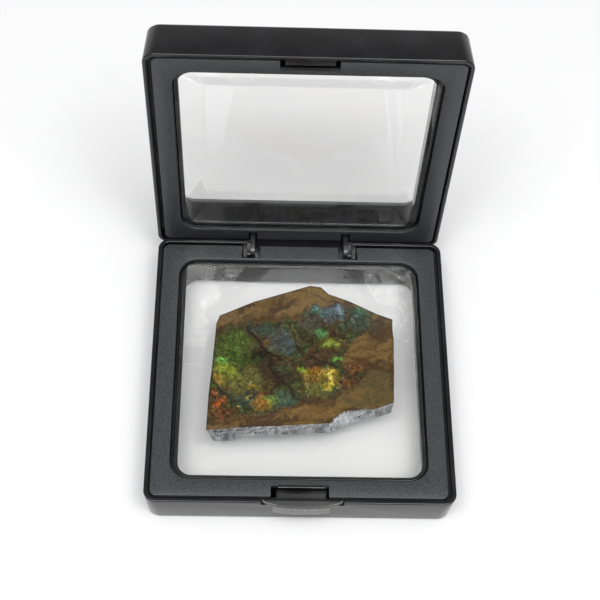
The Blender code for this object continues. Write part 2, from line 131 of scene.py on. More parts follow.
def weave(rows: int, columns: int, close_rows: bool = False, close_columns: bool = True) -> Array:
    """The quads between neighbouring points of a grid that is stored row by row.

    Args:
        rows: points down the grid.
        columns: points along each row.
        close_rows: whether the last row joins the first.
        close_columns: whether each row's end joins its start.

    Returns:
        Four point numbers for each quad.
    """
    down = np.arange(rows if close_rows else rows - 1)
    along = np.arange(columns if close_columns else columns - 1)
    row, column = np.meshgrid(down, along, indexing="ij")
    here, below = row * columns, (row + 1) % rows * columns
    beside = (column + 1) % columns
    corners = [here + column, here + beside, below + beside, below + column]
    return np.stack(corners, axis=-1).reshape(-1, 4)


def smooth_step(share: Array) -> Array:
    """A smooth rise from 0 to 1 as share goes from 0 to 1."""
    share = np.clip(share, 0.0, 1.0)
    return share * share * (3 - 2 * share)


def turned(x: Array, y: Array, turn: float) -> tuple[Array, Array]:
    """Places as measured along and across a direction that is turned from x by some degrees."""
    cos, sin = math.cos(math.radians(turn)), math.sin(math.radians(turn))
    return x * cos + y * sin, y * cos - x * sin


def eased(corners: Array, steps: int = 5) -> Array:
    """A closed profile with a true arc at each corner.

    Each arc is the rational quadratic curve that starts a cut's length before the corner and ends
    as far after it, with the cosine of half the turn as the corner's weight.

    Args:
        corners: rows of half width, height, radius in plan, and cut.
        steps: the segments in each arc.

    Returns:
        Rows of half width, height and radius in plan.
    """
    at, cut = corners[:, :3], corners[:, 3:]
    ways = []
    for other in (np.roll(at, 1, axis=0), np.roll(at, -1, axis=0)):
        way = other - at
        ways.append(way / np.hypot(way[:, 0], way[:, 1])[:, None])
    before, after = ways
    opening = (before[:, :2] * after[:, :2]).sum(axis=1)
    weight = np.sqrt((1 - opening) / 2)[:, None, None]
    share = np.linspace(0, 1, steps + 1)[None, :, None]
    first, middle, last = (1 - share) ** 2, 2 * share * (1 - share) * weight, share**2
    start, end = (at + before * cut)[:, None], (at + after * cut)[:, None]
    arcs = (first * start + middle * at[:, None] + last * end) / (first + middle + last)
    return arcs.reshape(-1, 3)


@dataclass(frozen=True)
class SquarePath:
    """A square with rounded corners, as the path that a profile is carried along.

    A point is the corner or side point of an inner square plus a normal, so that a profile point of
    half width h and radius r lies at inner times (h - r) plus normal times r.
    """

    per_corner: int = 10
    per_side: int = 1

    def parts(self) -> tuple[Array, Array]:
        """The inner square's points and the normals, each as rows of x and y."""
        signs = np.array([(1, 1), (-1, 1), (-1, -1), (1, -1)], float)
        inner, normal = [], []
        for turn, (here, ahead) in enumerate(zip(signs, np.roll(signs, -1, axis=0))):
            angles = np.radians(90 * turn + np.linspace(0, 90, self.per_corner + 1))
            share = np.linspace(0, 1, self.per_side + 1)[1:-1, None]
            inner += [np.tile(here, (len(angles), 1)), here + (ahead - here) * share]
            fan = np.column_stack([np.cos(angles), np.sin(angles)])
            normal += [fan, np.tile(fan[-1], (len(share), 1))]
        return np.concatenate(inner), np.concatenate(normal)

    def carry(self, profile: Array) -> Array:
        """Carries a profile round the square.

        Args:
            profile: rows of half width, height and radius in plan.

        Returns:
            A grid of points, one row for each profile point.
        """
        inner, normal = self.parts()
        half, height, radius = (profile[:, i, None, None] for i in range(3))
        flat = inner[None] * (half - radius) + normal[None] * radius
        return np.concatenate([flat, np.broadcast_to(height, flat.shape[:2] + (1,))], axis=2)


def ring(profile: Array, path: SquarePath, shift: float = 0.0) -> Skin:
    """A closed profile carried round a rounded square.

    Args:
        profile: rows of half width, height and radius in plan.
        path: the rounded square.
        shift: how far the whole ring is moved along x.

    Returns:
        The closed surface.
    """
    grid = path.carry(profile) + (shift, 0, 0)
    rows, columns = grid.shape[:2]
    return Skin(grid.reshape(-1, 3), weave(rows, columns, close_rows=True))


def prism(outline: Array, low: float, high: float, along: Along = Along.Z) -> Skin:
    """A closed outline carried straight from low to high, with flat ends.

    Args:
        outline: rows of x and y, or of y and z where it is carried along x.
        low: where it starts.
        high: where it ends.
        along: the axis that it is carried along.

    Returns:
        The closed surface.
    """
    count = len(outline)
    points = np.empty((2, count, 3))
    first, second, third = along.value
    points[:, :, first] = outline[:, 0]
    points[:, :, second] = outline[:, 1]
    points[:, :, third] = np.array([[low], [high]])
    ends = [np.arange(count)[::-1], np.arange(count) + count]
    return Skin(points.reshape(-1, 3), weave(2, count), ends)


def block(low: tuple[float, float, float], high: tuple[float, float, float]) -> Skin:
    """A box between two corners."""
    outline = np.array([(low[0], low[1]), (high[0], low[1]), (high[0], high[1]), (low[0], high[1])])
    return prism(outline, low[2], high[2])


def round_bar(radius: float, start: float, end: float, y: float, z: float, sides: int = 40) -> Skin:
    """A cylinder along x, as a circle carried from start to end."""
    angles = np.linspace(0, 2 * math.pi, sides, endpoint=False)
    circle = np.column_stack([y + radius * np.cos(angles), z + radius * np.sin(angles)])
    return prism(circle, min(start, end), max(start, end), Along.X)


def ease_edges(
    mesh: bpy.types.Mesh, width: float, steps: int = 2, least: float = 35.0
) -> bpy.types.Mesh:
    """Rounds a mesh's sharp edges.

    Args:
        mesh: the mesh, changed in place.
        width: how far from each edge the rounding starts, in millimetres.
        steps: the segments across each rounding.
        least: the angle in degrees over which an edge counts as sharp.

    Returns:
        The same mesh.
    """
    bm = bmesh.new()
    bm.from_mesh(mesh)
    sharp = [edge for edge in bm.edges if edge.calc_face_angle(0.0) > math.radians(least)]
    shape = {"offset": width, "segments": steps, "profile": 0.5, "clamp_overlap": True}
    bmesh.ops.bevel(bm, geom=sharp, affect="EDGES", **shape)
    bm.to_mesh(mesh)
    bm.free()
    return mesh


def machined(
    body: bpy.types.Mesh, joined: list[bpy.types.Mesh], cut: list[bpy.types.Mesh]
) -> bpy.types.Mesh:
    """Joins meshes to a body and cuts others from it.

    Args:
        body: the closed mesh that is worked on.
        joined: closed meshes that become one with it.
        cut: closed meshes whose room is taken from it.

    Returns:
        The new mesh.
    """
    scene = bpy.context.scene.collection
    stock = bpy.data.objects.new(body.name, body)
    tools = []
    scene.objects.link(stock)
    for operation, meshes in (("UNION", joined), ("DIFFERENCE", cut)):
        for mesh in meshes:
            tool = bpy.data.objects.new(mesh.name, mesh)
            scene.objects.link(tool)
            tools.append(tool)
            work = stock.modifiers.new(mesh.name, "BOOLEAN")
            work.operation = operation
            work.object = tool
            work.solver = "EXACT"
    graph = bpy.context.evaluated_depsgraph_get()
    made = bpy.data.meshes.new_from_object(stock.evaluated_get(graph))
    for obj in [stock, *tools]:
        bpy.data.objects.remove(obj)
    return made


def set_out(
    name: str,
    mesh: bpy.types.Mesh,
    half: Half,
    finish: bpy.types.Material,
    crease: float = 30.0,
) -> bpy.types.Object:
    """Puts a finished mesh in the scene as a piece that stands for the node of the same name.

    Args:
        name: the node that the piece replaces.
        mesh: its mesh, in the half's own millimetres.
        half: the half of the case that it belongs to.
        finish: its material.
        crease: the angle in degrees over which an edge is shown sharp.

    Returns:
        The new piece.
    """
    mesh.transform(half.place())
    mesh.materials.clear()
    mesh.materials.append(finish)
    mesh.shade_smooth()
    mesh.set_sharp_from_angle(angle=math.radians(crease))
    piece = bpy.data.objects.new(name + "_piece", mesh)
    bpy.context.scene.collection.objects.link(piece)
    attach(piece, half.value)
    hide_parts(name)
    LOG.info("%s: %d faces on %s", piece.name, len(mesh.polygons), half.value)
    return piece


def linear(colour: str) -> tuple[float, float, float, float]:
    """An sRGB hex colour as linear red, green, blue and full alpha."""
    parts = [int(colour[i : i + 2], 16) / 255 for i in (1, 3, 5)]
    bent = [part / 12.92 if part <= 0.04045 else ((part + 0.055) / 1.055) ** 2.4 for part in parts]
    return (bent[0], bent[1], bent[2], 1.0)


def add_node(tree: Tree, kind: str, values: dict[Any, Any] | None = None) -> bpy.types.Node:
    """Adds one node, and sets or links what it is given.

    Args:
        tree: the node tree.
        kind: the node's type name.
        values: by the node's setting or else by its socket, a value or the output that feeds it.

    Returns:
        The node.
    """
    node = tree.nodes.new(kind)
    for key, value in (values or {}).items():
        if isinstance(value, bpy.types.NodeSocket):
            tree.links.new(value, node.inputs[key])
        elif isinstance(key, str) and key.islower() and hasattr(node, key):
            setattr(node, key, value)
        else:
            node.inputs[key].default_value = value
    return node


def object_place(tree: Tree) -> Any:
    """The output that gives the place on the object, in metres."""
    return add_node(tree, "ShaderNodeTexCoord").outputs["Object"]


def spread(
    tree: Tree,
    value: Any,
    low: float,
    high: float,
    start: float = 0.0,
    end: float = 1.0,
    curve: str = "LINEAR",
) -> Any:
    """Spreads a value from low to high while it goes from start to end, and holds it beyond.

    Args:
        tree: the node tree.
        value: the output that gives the value.
        low: what start becomes.
        high: what end becomes.
        start: where the value starts to count.
        end: where it stops counting.
        curve: how it goes between them.

    Returns:
        The output that gives the result.
    """
    ends = {"From Min": start, "From Max": end, "To Min": low, "To Max": high}
    settings = {"interpolation_type": curve, **ends, "Value": value}
    return add_node(tree, "ShaderNodeMapRange", settings).outputs["Result"]


def calculated(tree: Tree, operation: str, *terms: Any) -> Any:
    """The output of a calculation on terms that are each a number or an output."""
    settings = {"operation": operation, **dict(enumerate(terms))}
    return add_node(tree, "ShaderNodeMath", settings).outputs[0]


def noise(
    tree: Tree,
    place: Any,
    size_mm: float,
    detail: float,
    roughness: float = 0.5,
    output: str = "Fac",
) -> Any:
    """The output of a noise.

    Args:
        tree: the node tree.
        place: the output that gives the place.
        size_mm: the width of its largest waves, in millimetres.
        detail: how many finer octaves it has.
        roughness: how strong each finer octave is.
        output: which of the noise's outputs is wanted.

    Returns:
        That output.
    """
    settings = {"Scale": 1 / (size_mm * MM), "Detail": detail, "Roughness": roughness}
    return add_node(tree, "ShaderNodeTexNoise", {**settings, "Vector": place}).outputs[output]


def mixed(tree: Tree, share: Any, first: Any, second: Any) -> Any:
    """The output that goes from the first colour to the second as the share goes from 0 to 1."""
    settings = {"data_type": "RGBA", 0: share, 6: first, 7: second}
    return add_node(tree, "ShaderNodeMix", settings).outputs[2]


def tuned(tree: Tree, colour: Any, changes: dict[str, Any]) -> Any:
    """The output that gives a colour with its hue, saturation or value changed."""
    return add_node(tree, "ShaderNodeHueSaturation", {**changes, "Color": colour}).outputs["Color"]


def bumped(tree: Tree, height: Any, strength: float, depth_mm: float) -> Any:
    """The output that gives a normal tilted by a fine relief."""
    settings = {"Strength": strength, "Distance": depth_mm * MM, "Height": height}
    return add_node(tree, "ShaderNodeBump", settings).outputs["Normal"]


class Finish(ABC):
    """What all finishes share: a named material made of one Principled shader."""

    name: str

    @abstractmethod
    def surface(self, tree: Tree) -> dict[str, Any]:
        """The shader's values, and the outputs that feed it, by the shader's socket."""

    def material(self) -> bpy.types.Material:
        """Builds the node material."""
        made = bpy.data.materials.new(self.name)
        made.use_nodes = True
        tree = made.node_tree
        tree.nodes.clear()
        shader = add_node(tree, "ShaderNodeBsdfPrincipled", self.surface(tree))
        add_node(tree, "ShaderNodeOutputMaterial", {"Surface": shader.outputs["BSDF"]})
        return made


@dataclass(frozen=True)
class MouldedGloss(Finish):
    """Black ABS moulded against a polished tool: deep and shiny, with faint ripples and light wear.

    ABS has an index of about 1.53. The eye sees soft reflections that blur a little where it is
    scuffed.
    """

    name: str = "moulded_gloss_abs"
    colour: str = "#131315"
    rubbed_colour: str = "#1b1b1d"
    roughness: float = 0.16
    rubbed_roughness: float = 0.26
    index: float = 1.53
    ripple_mm: float = 1.6
    ripple_depth_mm: float = 0.02
    ripple_strength: float = 0.15
    rub_mm: float = 7.0
    rub_span: tuple[float, float] = (0.42, 0.72)

    def surface(self, tree: Tree) -> dict[str, Any]:
        """Blurs and lightens the gloss where it is rubbed, over the ripples."""
        place = object_place(tree)
        lighter_tone = spread(tree, noise(tree, place, self.rub_mm, 5.0), 0.0, 1.0, *self.rub_span)
        ripple = noise(tree, place, self.ripple_mm, 2.0)
        return {
            "IOR": self.index,
            "Base Color": mixed(tree, lighter_tone, linear(self.colour), linear(self.rubbed_colour)),
            "Roughness": spread(tree, lighter_tone, self.roughness, self.rubbed_roughness),
            "Normal": bumped(tree, ripple, self.ripple_strength, self.ripple_depth_mm),
        }


@dataclass(frozen=True)
class SparkErodedMatte(Finish):
    """Dark grey ABS moulded against a spark-eroded tool: a fine even grain that scatters light.

    The real grain is about 0.1 mm, too fine to show, so it is drawn at 0.3 mm. The eye sees a faint
    salt-and-pepper surface that still mirrors bright things dimly. A lighter grey copy of it is put
    on the latch's skirt front and lip ends.
    """

    name: str = "spark_eroded_abs"
    colour: str = "#222325"
    light_colour: str = "#424346"
    roughness: float = 0.4
    index: float = 1.53
    grain_mm: float = 0.3
    grain_depth_mm: float = 0.05
    grain_strength: float = 0.3
    grain_span: tuple[float, float] = (0.35, 0.65)

    def surface(self, tree: Tree) -> dict[str, Any]:
        """Lightens the peaks of the grain, which also tilts the surface."""
        grain = noise(tree, object_place(tree), self.grain_mm, 3.0)
        peak = spread(tree, grain, 0.0, 1.0, *self.grain_span)
        return {
            "IOR": self.index,
            "Roughness": self.roughness,
            "Base Color": mixed(tree, peak, linear(self.colour), linear(self.light_colour)),
            "Normal": bumped(tree, grain, self.grain_strength, self.grain_depth_mm),
        }


@dataclass(frozen=True)
class StretchedClear(Finish):
    """Clear elastic film, cast and stretched: almost invisible, with crisp glints where it puckers.

    A sheet this thin bends nothing that is seen through it, so its body has an index of 1, and the
    gloss of both faces comes from a coat with the index of the real film, about 1.49.
    """

    name: str = "stretched_clear_film"
    colour: str = "#fdfdfc"
    body_index: float = 1.0
    face_index: float = 1.49
    face_gloss: float = 0.9
    face_roughness: float = 0.03

    def surface(self, tree: Tree) -> dict[str, Any]:
        """Lets everything through, under a thin coat."""
        return {
            "Base Color": linear(self.colour),
            "IOR": self.body_index,
            "Roughness": 0.0,
            "Transmission Weight": 1.0,
            "Coat Weight": self.face_gloss,
            "Coat IOR": self.face_index,
            "Coat Roughness": self.face_roughness,
        }


@dataclass(frozen=True)
class PolishedAmmolite(Finish):
    """Fossil shell in brown stone, ground and polished: a wet gloss over dark, crumpled shell.

    Aragonite has an index of about 1.6. The eye sees flakes that each flash in their own hue and
    brightness, fine bright lines of painted glint and dark brown filigree between them, and silvery,
    streaked faces where the slab is broken, whose light grey is partly painted reflection.
    """

    name: str = "polished_ammolite"
    index: float = 1.6
    specular: float = 0.35
    polish: float = 0.16
    broken_roughness: float = 0.34
    broken_metal: float = 0.45
    warp_mm: float = 1.9
    warp_reach_mm: float = 2.6
    flake_mm: float = 0.85
    flake_flash: tuple[float, float] = (0.62, 1.32)
    hue_play: float = 0.018
    mottle_mm: float = 0.55
    mottle_light: tuple[float, float] = (0.6, 1.4)
    mottle_span: tuple[float, float] = (0.3, 0.7)
    filigree_mm: float = 2.6
    filigree_depth: tuple[float, float] = (0.2, 0.55)
    filigree_colour: str = "#20170e"
    # The glint lines are painted highlights: thin lines lightened into the base colour of some
    # flakes.
    glint_line_mm: float = 1.3
    glint_line_light: float = 2.2
    glint_line_saturation: float = 0.8
    glint_line_start: float = 0.45
    line_width: float = 0.05
    relief_depth_mm: float = 0.05
    relief_strength: float = 0.2

    def contours(self, tree: Tree, place: Any, size_mm: float) -> Any:
        """Thin winding lines, drawn where a noise crosses its middle value.

        Args:
            tree: the material's node tree.
            place: the output that gives the place.
            size_mm: the noise's largest waves, in millimetres.

        Returns:
            The output that is 1 on a line and 0 beyond its width.
        """
        waves = noise(tree, place, size_mm, 2.5, 0.6)
        gap = calculated(tree, "ABSOLUTE", calculated(tree, "SUBTRACT", waves, 0.5))
        return spread(tree, gap, 1.0, 0.0, 0.0, self.line_width, "SMOOTHSTEP")

    def surface(self, tree: Tree) -> dict[str, Any]:
        """Lays flakes, mottle, filigree and painted glint lines over the slab's own colours, in that
        order.
        """
        place = object_place(tree)
        colour, play, broken = (
            add_node(tree, "ShaderNodeAttribute", {"attribute_name": name}).outputs[output]
            for name, output in (("surface_colour", "Color"), ("play", "Fac"), ("broken", "Fac"))
        )
        warp = noise(tree, place, self.warp_mm, 4.0, output="Color")
        reach = {"operation": "SCALE", "Scale": self.warp_reach_mm * MM, 0: warp}
        shift = add_node(tree, "ShaderNodeVectorMath", reach).outputs[0]
        moved = {"operation": "ADD", 0: place, 1: shift}
        bent = add_node(tree, "ShaderNodeVectorMath", moved).outputs[0]
        flakes = {"feature": "F1", "Scale": 1 / (self.flake_mm * MM), "Vector": bent}
        flake = add_node(tree, "ShaderNodeTexVoronoi", flakes).outputs["Color"]
        first, second, third = add_node(tree, "ShaderNodeSeparateColor", {"Color": flake}).outputs
        mottle = noise(tree, bent, self.mottle_mm, 5.0, 0.7)
        hue = spread(tree, first, 0.5 - self.hue_play, 0.5 + self.hue_play)
        flash = spread(tree, second, *self.flake_flash)
        flaky = tuned(tree, colour, {"Hue": hue, "Value": flash, "Fac": play})
        shade = spread(tree, mottle, *self.mottle_light, *self.mottle_span)
        mottled = tuned(tree, flaky, {"Value": shade})
        filigree = self.contours(tree, bent, self.filigree_mm)
        sunk = calculated(tree, "MULTIPLY", filigree, spread(tree, play, *self.filigree_depth))
        veined = mixed(tree, sunk, mottled, linear(self.filigree_colour))
        # Painted glints: thin lines on some flakes are lightened in the base colour to stand in for
        # highlights.
        glint_lines = self.contours(tree, place, self.glint_line_mm)
        glinting_flakes = spread(tree, third, 0.0, 1.0, self.glint_line_start, 1.0)
        painted_glints = calculated(tree, "MULTIPLY", glint_lines, glinting_flakes)
        brighter = {"Saturation": self.glint_line_saturation, "Value": self.glint_line_light}
        glint_colour = tuned(tree, flaky, brighter)
        relief = calculated(tree, "MULTIPLY_ADD", second, 0.5, mottle)
        return {
            "IOR": self.index,
            "Specular IOR Level": self.specular,
            "Base Color": mixed(tree, calculated(tree, "MULTIPLY", painted_glints, play), veined, glint_colour),
            "Roughness": spread(tree, broken, self.polish, self.broken_roughness),
            "Metallic": spread(tree, broken, 0.0, self.broken_metal),
            "Normal": bumped(tree, relief, self.relief_strength, self.relief_depth_mm),
        }


@dataclass(frozen=True)
class PaperWhite(Finish):
    """A smooth white sheet, matt and even."""

    name: str = "white_paper"
    colour: str = "#e8e8e9"
    roughness: float = 0.8

    def surface(self, tree: Tree) -> dict[str, Any]:
        """One even colour with no gloss."""
        return {"Base Color": linear(self.colour), "Roughness": self.roughness}


@dataclass(frozen=True)
class Layers:
    """What both halves share: plan sizes, and how deep each layer lies under the parting plane."""

    case: float = 35.0
    draft: float = 0.65
    case_corner: float = 2.8
    face_edge: float = 0.9
    rim_edge: float = 0.3
    rim_wall: float = 1.0
    rim_corner: float = 1.8
    lower_wall: float = 2.0
    floor: float = 1.4
    lip_inner: float = 27.7
    lip_outer: float = 28.8
    lip_corner: float = 3.2
    shoulder: float = 29.9
    flare: float = 0.7
    mouth: float = 0.9
    mouth_depth: float = 1.6
    lip_top: float = 1.2
    ledge_top: float = 1.6
    frame_top: float = 0.2
    frame_thickness: float = 1.1
    frame_outer: float = 33.4
    frame_outer_corner: float = 1.5
    frame_inner: float = 29.28
    frame_inner_corner: float = 4.4
    film_top: float = 0.6
    film_thickness: float = 0.3
    film_half: float = 28.6
    film_corner: float = 3.9
    film_free_edge: float = 27.5
    rim_inner_edge: float = 0.22
    tight_edge: float = 0.05
    channel_edge: float = 0.3
    ledge_edge: float = 0.08
    lip_outer_edge: float = 0.18
    lip_roll: float = 0.7
    throat_edge: float = 0.2
    mouth_edge: float = 0.15
    frame_edge: float = 0.18

    def shell_profile(self, height: float) -> Array:
        """The section of a half: outer wall, rim, ledge, channel, lip, flared wall and mouth.

        Args:
            height: the half's height.

        Returns:
            The eased profile.
        """
        ledge, lip = height - self.ledge_top, height - self.lip_top
        wall = self.case - self.lower_wall
        inner_corner = self.lip_corner + self.shoulder - self.lip_inner
        outer_corner = self.lip_corner + self.lip_outer - self.lip_inner
        throat = self.lip_inner + self.flare * (1 - self.mouth_depth / height)
        corners = [
            (self.case - self.draft, 0.0, self.case_corner, self.face_edge),
            (self.case, height, self.case_corner, self.rim_edge),
            (self.case - self.rim_wall, height, self.rim_corner, self.rim_inner_edge),
            (self.case - self.rim_wall, ledge, self.rim_corner, self.tight_edge),
            (wall, ledge, self.rim_corner, self.tight_edge),
            (wall, self.floor, self.rim_corner, self.channel_edge),
            (self.shoulder, self.floor, inner_corner, self.channel_edge),
            (self.shoulder, ledge, inner_corner, self.ledge_edge),
            (self.lip_outer, ledge, outer_corner, self.tight_edge),
            (self.lip_outer, lip, outer_corner, self.lip_outer_edge),
            (self.lip_inner, lip, self.lip_corner, self.lip_roll),
            (throat, self.mouth_depth, self.lip_corner, self.throat_edge),
            (throat + self.mouth, 0.0, self.lip_corner, self.mouth_edge),
        ]
        return eased(np.array(corners))

    def frame_profile(self, height: float) -> Array:
        """The section of a retaining frame, its top edges eased so that they catch the light."""
        top = height - self.frame_top
        low = top - self.frame_thickness
        corners = [
            (self.frame_outer, low, self.frame_outer_corner, self.tight_edge),
            (self.frame_outer, top, self.frame_outer_corner, self.frame_edge),
            (self.frame_inner, top, self.frame_inner_corner, self.frame_edge),
            (self.frame_inner, low, self.frame_inner_corner, self.tight_edge),
        ]
        return eased(np.array(corners), 3)


def retaining_frame(
    layers: Layers,
    half: Half,
    height: float,
    shift: float,
    gaps: list[tuple[Point, float, float]],
    finish: bpy.types.Material,
) -> bpy.types.Object:
    """Makes a half's retaining frame, a ring that is cut right through at each gap.

    Args:
        layers: the sizes that both halves share.
        half: the half that it lies in.
        height: that half's height.
        shift: how far it lies to one side.
        gaps: for each, its ends along x, and where it starts and ends along y.
        finish: its material.

    Returns:
        The new piece.
    """
    name = half.value + "_frame"
    body = ring(layers.frame_profile(height), SquarePath(), shift).mesh(name)
    cuts = [
        block((left, front, height - CUT_UNDER), (right, back, height + CUT_OVER)).mesh("gap")
        for (left, right), front, back in gaps
    ]
    return set_out(name, machined(body, [], cuts), half, finish)


@dataclass
class CaseBase:
    """The lower half's shell, with hinge cheeks and latch opening, and its retaining frame."""

    layers: Layers
    height: float = 10.2
    frame_shift: float = -0.23
    film_depth: float = 2.12
    cutout: tuple[float, float] = (-13.1, 12.8)
    cutout_bottom: float = 4.1
    cheek_width: float = 1.0
    cheek_front: float = 30.3
    cheek_bottom: float = 0.9
    cheek_top: float = 9.7
    cheek_edge: float = 0.15
    boss_width: float = 3.0
    boss_front: float = 32.3
    boss_heights: tuple[float, float] = (5.7, 8.5)
    wall_back: float = 34.5
    bore_radius: float = 0.65
    bore_depth: float = 2.2
    axis_back: float = 33.6
    axis_height: float = 7.4
    dip: tuple[float, float] = (-8.85, 9.8)
    dip_bottom: float = 8.85
    front_wall_back: float = -32.75
    tongue_gap: tuple[float, float] = (-5.75, 6.35)
    tongue_bottom: float = 6.65
    notch_front: float = 29.8
    notches: tuple[Point, ...] = ((-14.4, -9.8), (9.45, 14.2))
    latch_slot: tuple[float, float] = (-6.65, 6.4)
    latch_slot_back: float = -30.8

    def shell(self, finish: bpy.types.Material) -> bpy.types.Object:
        """The shell, with its hinge gap, cheeks, bored bosses and the room for the latch."""
        body = ring(self.layers.shell_profile(self.height), SquarePath()).mesh("base_shell")
        over = self.height + CUT_OVER
        left, right = self.cutout
        gap = block((left, self.boss_front, self.cutout_bottom), (right, OUTSIDE, over)).mesh("gap")
        hollow = machined(body, [], [gap])
        added, bores = [], []
        for face, out in ((left, -1), (right, 1)):
            cheek_x = sorted((face, face + out * self.cheek_width))
            boss_x = sorted((face, face + out * self.boss_width))
            low, high = self.boss_heights
            cheek = block(
                (cheek_x[0], self.cheek_front, self.cheek_bottom),
                (cheek_x[1], self.wall_back, self.cheek_top),
            )
            boss = block((boss_x[0], self.boss_front, low), (boss_x[1], self.wall_back, high))
            added += [ease_edges(cheek.mesh("cheek"), self.cheek_edge), boss.mesh("boss")]
            start, end = face - out, face + out * self.bore_depth
            bore = round_bar(self.bore_radius, start, end, self.axis_back, self.axis_height)
            bores.append(bore.mesh("bore"))
        cuts = [
            block((low_x, -OUTSIDE, bottom), (high_x, self.front_wall_back, over)).mesh(name)
            for name, (low_x, high_x), bottom in (
                ("dip", self.dip, self.dip_bottom),
                ("throat", self.tongue_gap, self.tongue_bottom),
            )
        ]
        made = machined(hollow, added, [*bores, *cuts])
        return set_out("base_shell", made, Half.BASE, finish)

    def frame(self, finish: bpy.types.Material) -> bpy.types.Object:
        """The retaining frame, notched for the hinge ears and for the latch hook."""
        gaps = [(notch, self.notch_front, OUTSIDE) for notch in self.notches]
        gaps.append((self.latch_slot, -OUTSIDE, self.latch_slot_back))
        return retaining_frame(
            self.layers, Half.BASE, self.height, self.frame_shift, gaps, finish
        )


@dataclass
class CaseLid:
    """The upper half's shell, with hinge ears, web and ribs, and its retaining frame."""

    layers: Layers
    height: float = 9.4
    frame_shift: float = 0.26
    film_depth: float = 1.85
    axis_y: float = -33.6
    axis_z: float = 12.5
    ear_radius: float = 3.0
    ear_width: float = 1.5
    ear_thickness: float = 1.15
    ear_foot: float = 7.0
    ear_edge: float = 0.12
    ear_steps: int = 22
    ears: tuple[float, float] = (-12.1, 12.5)
    web_outer: float = -34.6
    web_inner: float = -33.7
    web_top: float = 15.2
    web_edge: float = 0.1
    stop: tuple[float, float] = (-7.8, 8.2)
    stop_inner: float = -32.4
    stop_start: float = 13.5
    pin_radius: float = 0.45
    pin_length: float = 2.6
    ear_play: float = 0.35
    catch_slot: tuple[float, float] = (-6.1, 6.7)
    catch_slot_back: float = 30.5
    rib: tuple[float, float] = (-5.0, 5.6)
    rib_inner: float = 32.3
    rib_outer: float = 34.25
    rib_depth: float = 0.5

    def ear(self, left: float) -> bpy.types.Mesh:
        """A hinge ear: upright sides that end in a round about the hinge axis, carried along x."""
        start = left + (self.ear_width - self.ear_thickness) / 2
        last = math.pi / 2 + math.asin((self.axis_y - self.web_outer) / self.ear_radius)
        angles = np.linspace(0, last, self.ear_steps)
        arc = np.column_stack([np.cos(angles), np.sin(angles)]) * self.ear_radius
        inner = self.axis_y + self.ear_radius
        foot = np.array([(self.web_outer, self.ear_foot), (inner, self.ear_foot)])
        outline = np.concatenate([foot, arc + (self.axis_y, self.axis_z)])
        ear = prism(outline, start, start + self.ear_thickness, Along.X)
        return ease_edges(ear.mesh("ear"), self.ear_edge)

    def shell(self, finish: bpy.types.Material) -> bpy.types.Object:
        """The shell, with two pinned ears, the web and stop rib between them, and the catch rib."""
        body = ring(self.layers.shell_profile(self.height), SquarePath()).mesh("lid_shell")
        left, right = self.ears
        left_middle, right_middle = left + self.ear_width / 2, right - self.ear_width / 2
        ledge = self.height - self.layers.ledge_top
        web = block(
            (left_middle, self.web_outer, ledge + STEP),
            (right_middle, self.web_inner, self.web_top),
        )
        stop = block(
            (self.stop[0], self.web_outer + STEP, self.stop_start),
            (self.stop[1], self.stop_inner, self.web_top - STEP),
        )
        rib = block(
            (self.rib[0], self.rib_inner, self.height - self.rib_depth),
            (self.rib[1], self.rib_outer, self.height - STEP),
        )
        spans = ((left - self.pin_length, left_middle), (right_middle, right + self.pin_length))
        pins = [round_bar(self.pin_radius, *span, self.axis_y, self.axis_z) for span in spans]
        added = [self.ear(left), self.ear(right - self.ear_width)]
        added += [ease_edges(skin.mesh("web"), self.web_edge) for skin in (web, stop, rib)]
        made = machined(body, [*added, *(pin.mesh("pin") for pin in pins)], [])
        return set_out("lid_shell", made, Half.LID, finish)

    def frame(self, finish: bpy.types.Material) -> bpy.types.Object:
        """The retaining frame, cut for the ears and for the catch."""
        left, right = self.ears
        width, play = self.ear_width, self.ear_play
        room = self.axis_y + self.ear_radius + play
        gaps = [
            ((left - play, left + width + play), -OUTSIDE, room),
            ((right - width - play, right + play), -OUTSIDE, room),
            (self.catch_slot, self.catch_slot_back, OUTSIDE),
        ]
        return retaining_frame(self.layers, Half.LID, self.height, self.frame_shift, gaps, finish)


@dataclass(frozen=True)
class Pucker:
    """A small stretched patch that leans another way than the film round it, and so glints."""

    x: float
    y: float
    lean: tuple[float, float]
    long: float
    wide: float
    turn: float = 0.0

    def heights(self, x: Array, y: Array) -> Array:
        """The patch's height: its lean times the way from its middle, under a bell both ways."""
        off_x, off_y = x - self.x, y - self.y
        along, across = turned(off_x, off_y, self.turn)
        bell = np.exp(-((along / self.long) ** 2) - (across / self.wide) ** 2)
        return (off_x * self.lean[0] + off_y * self.lean[1]) * bell


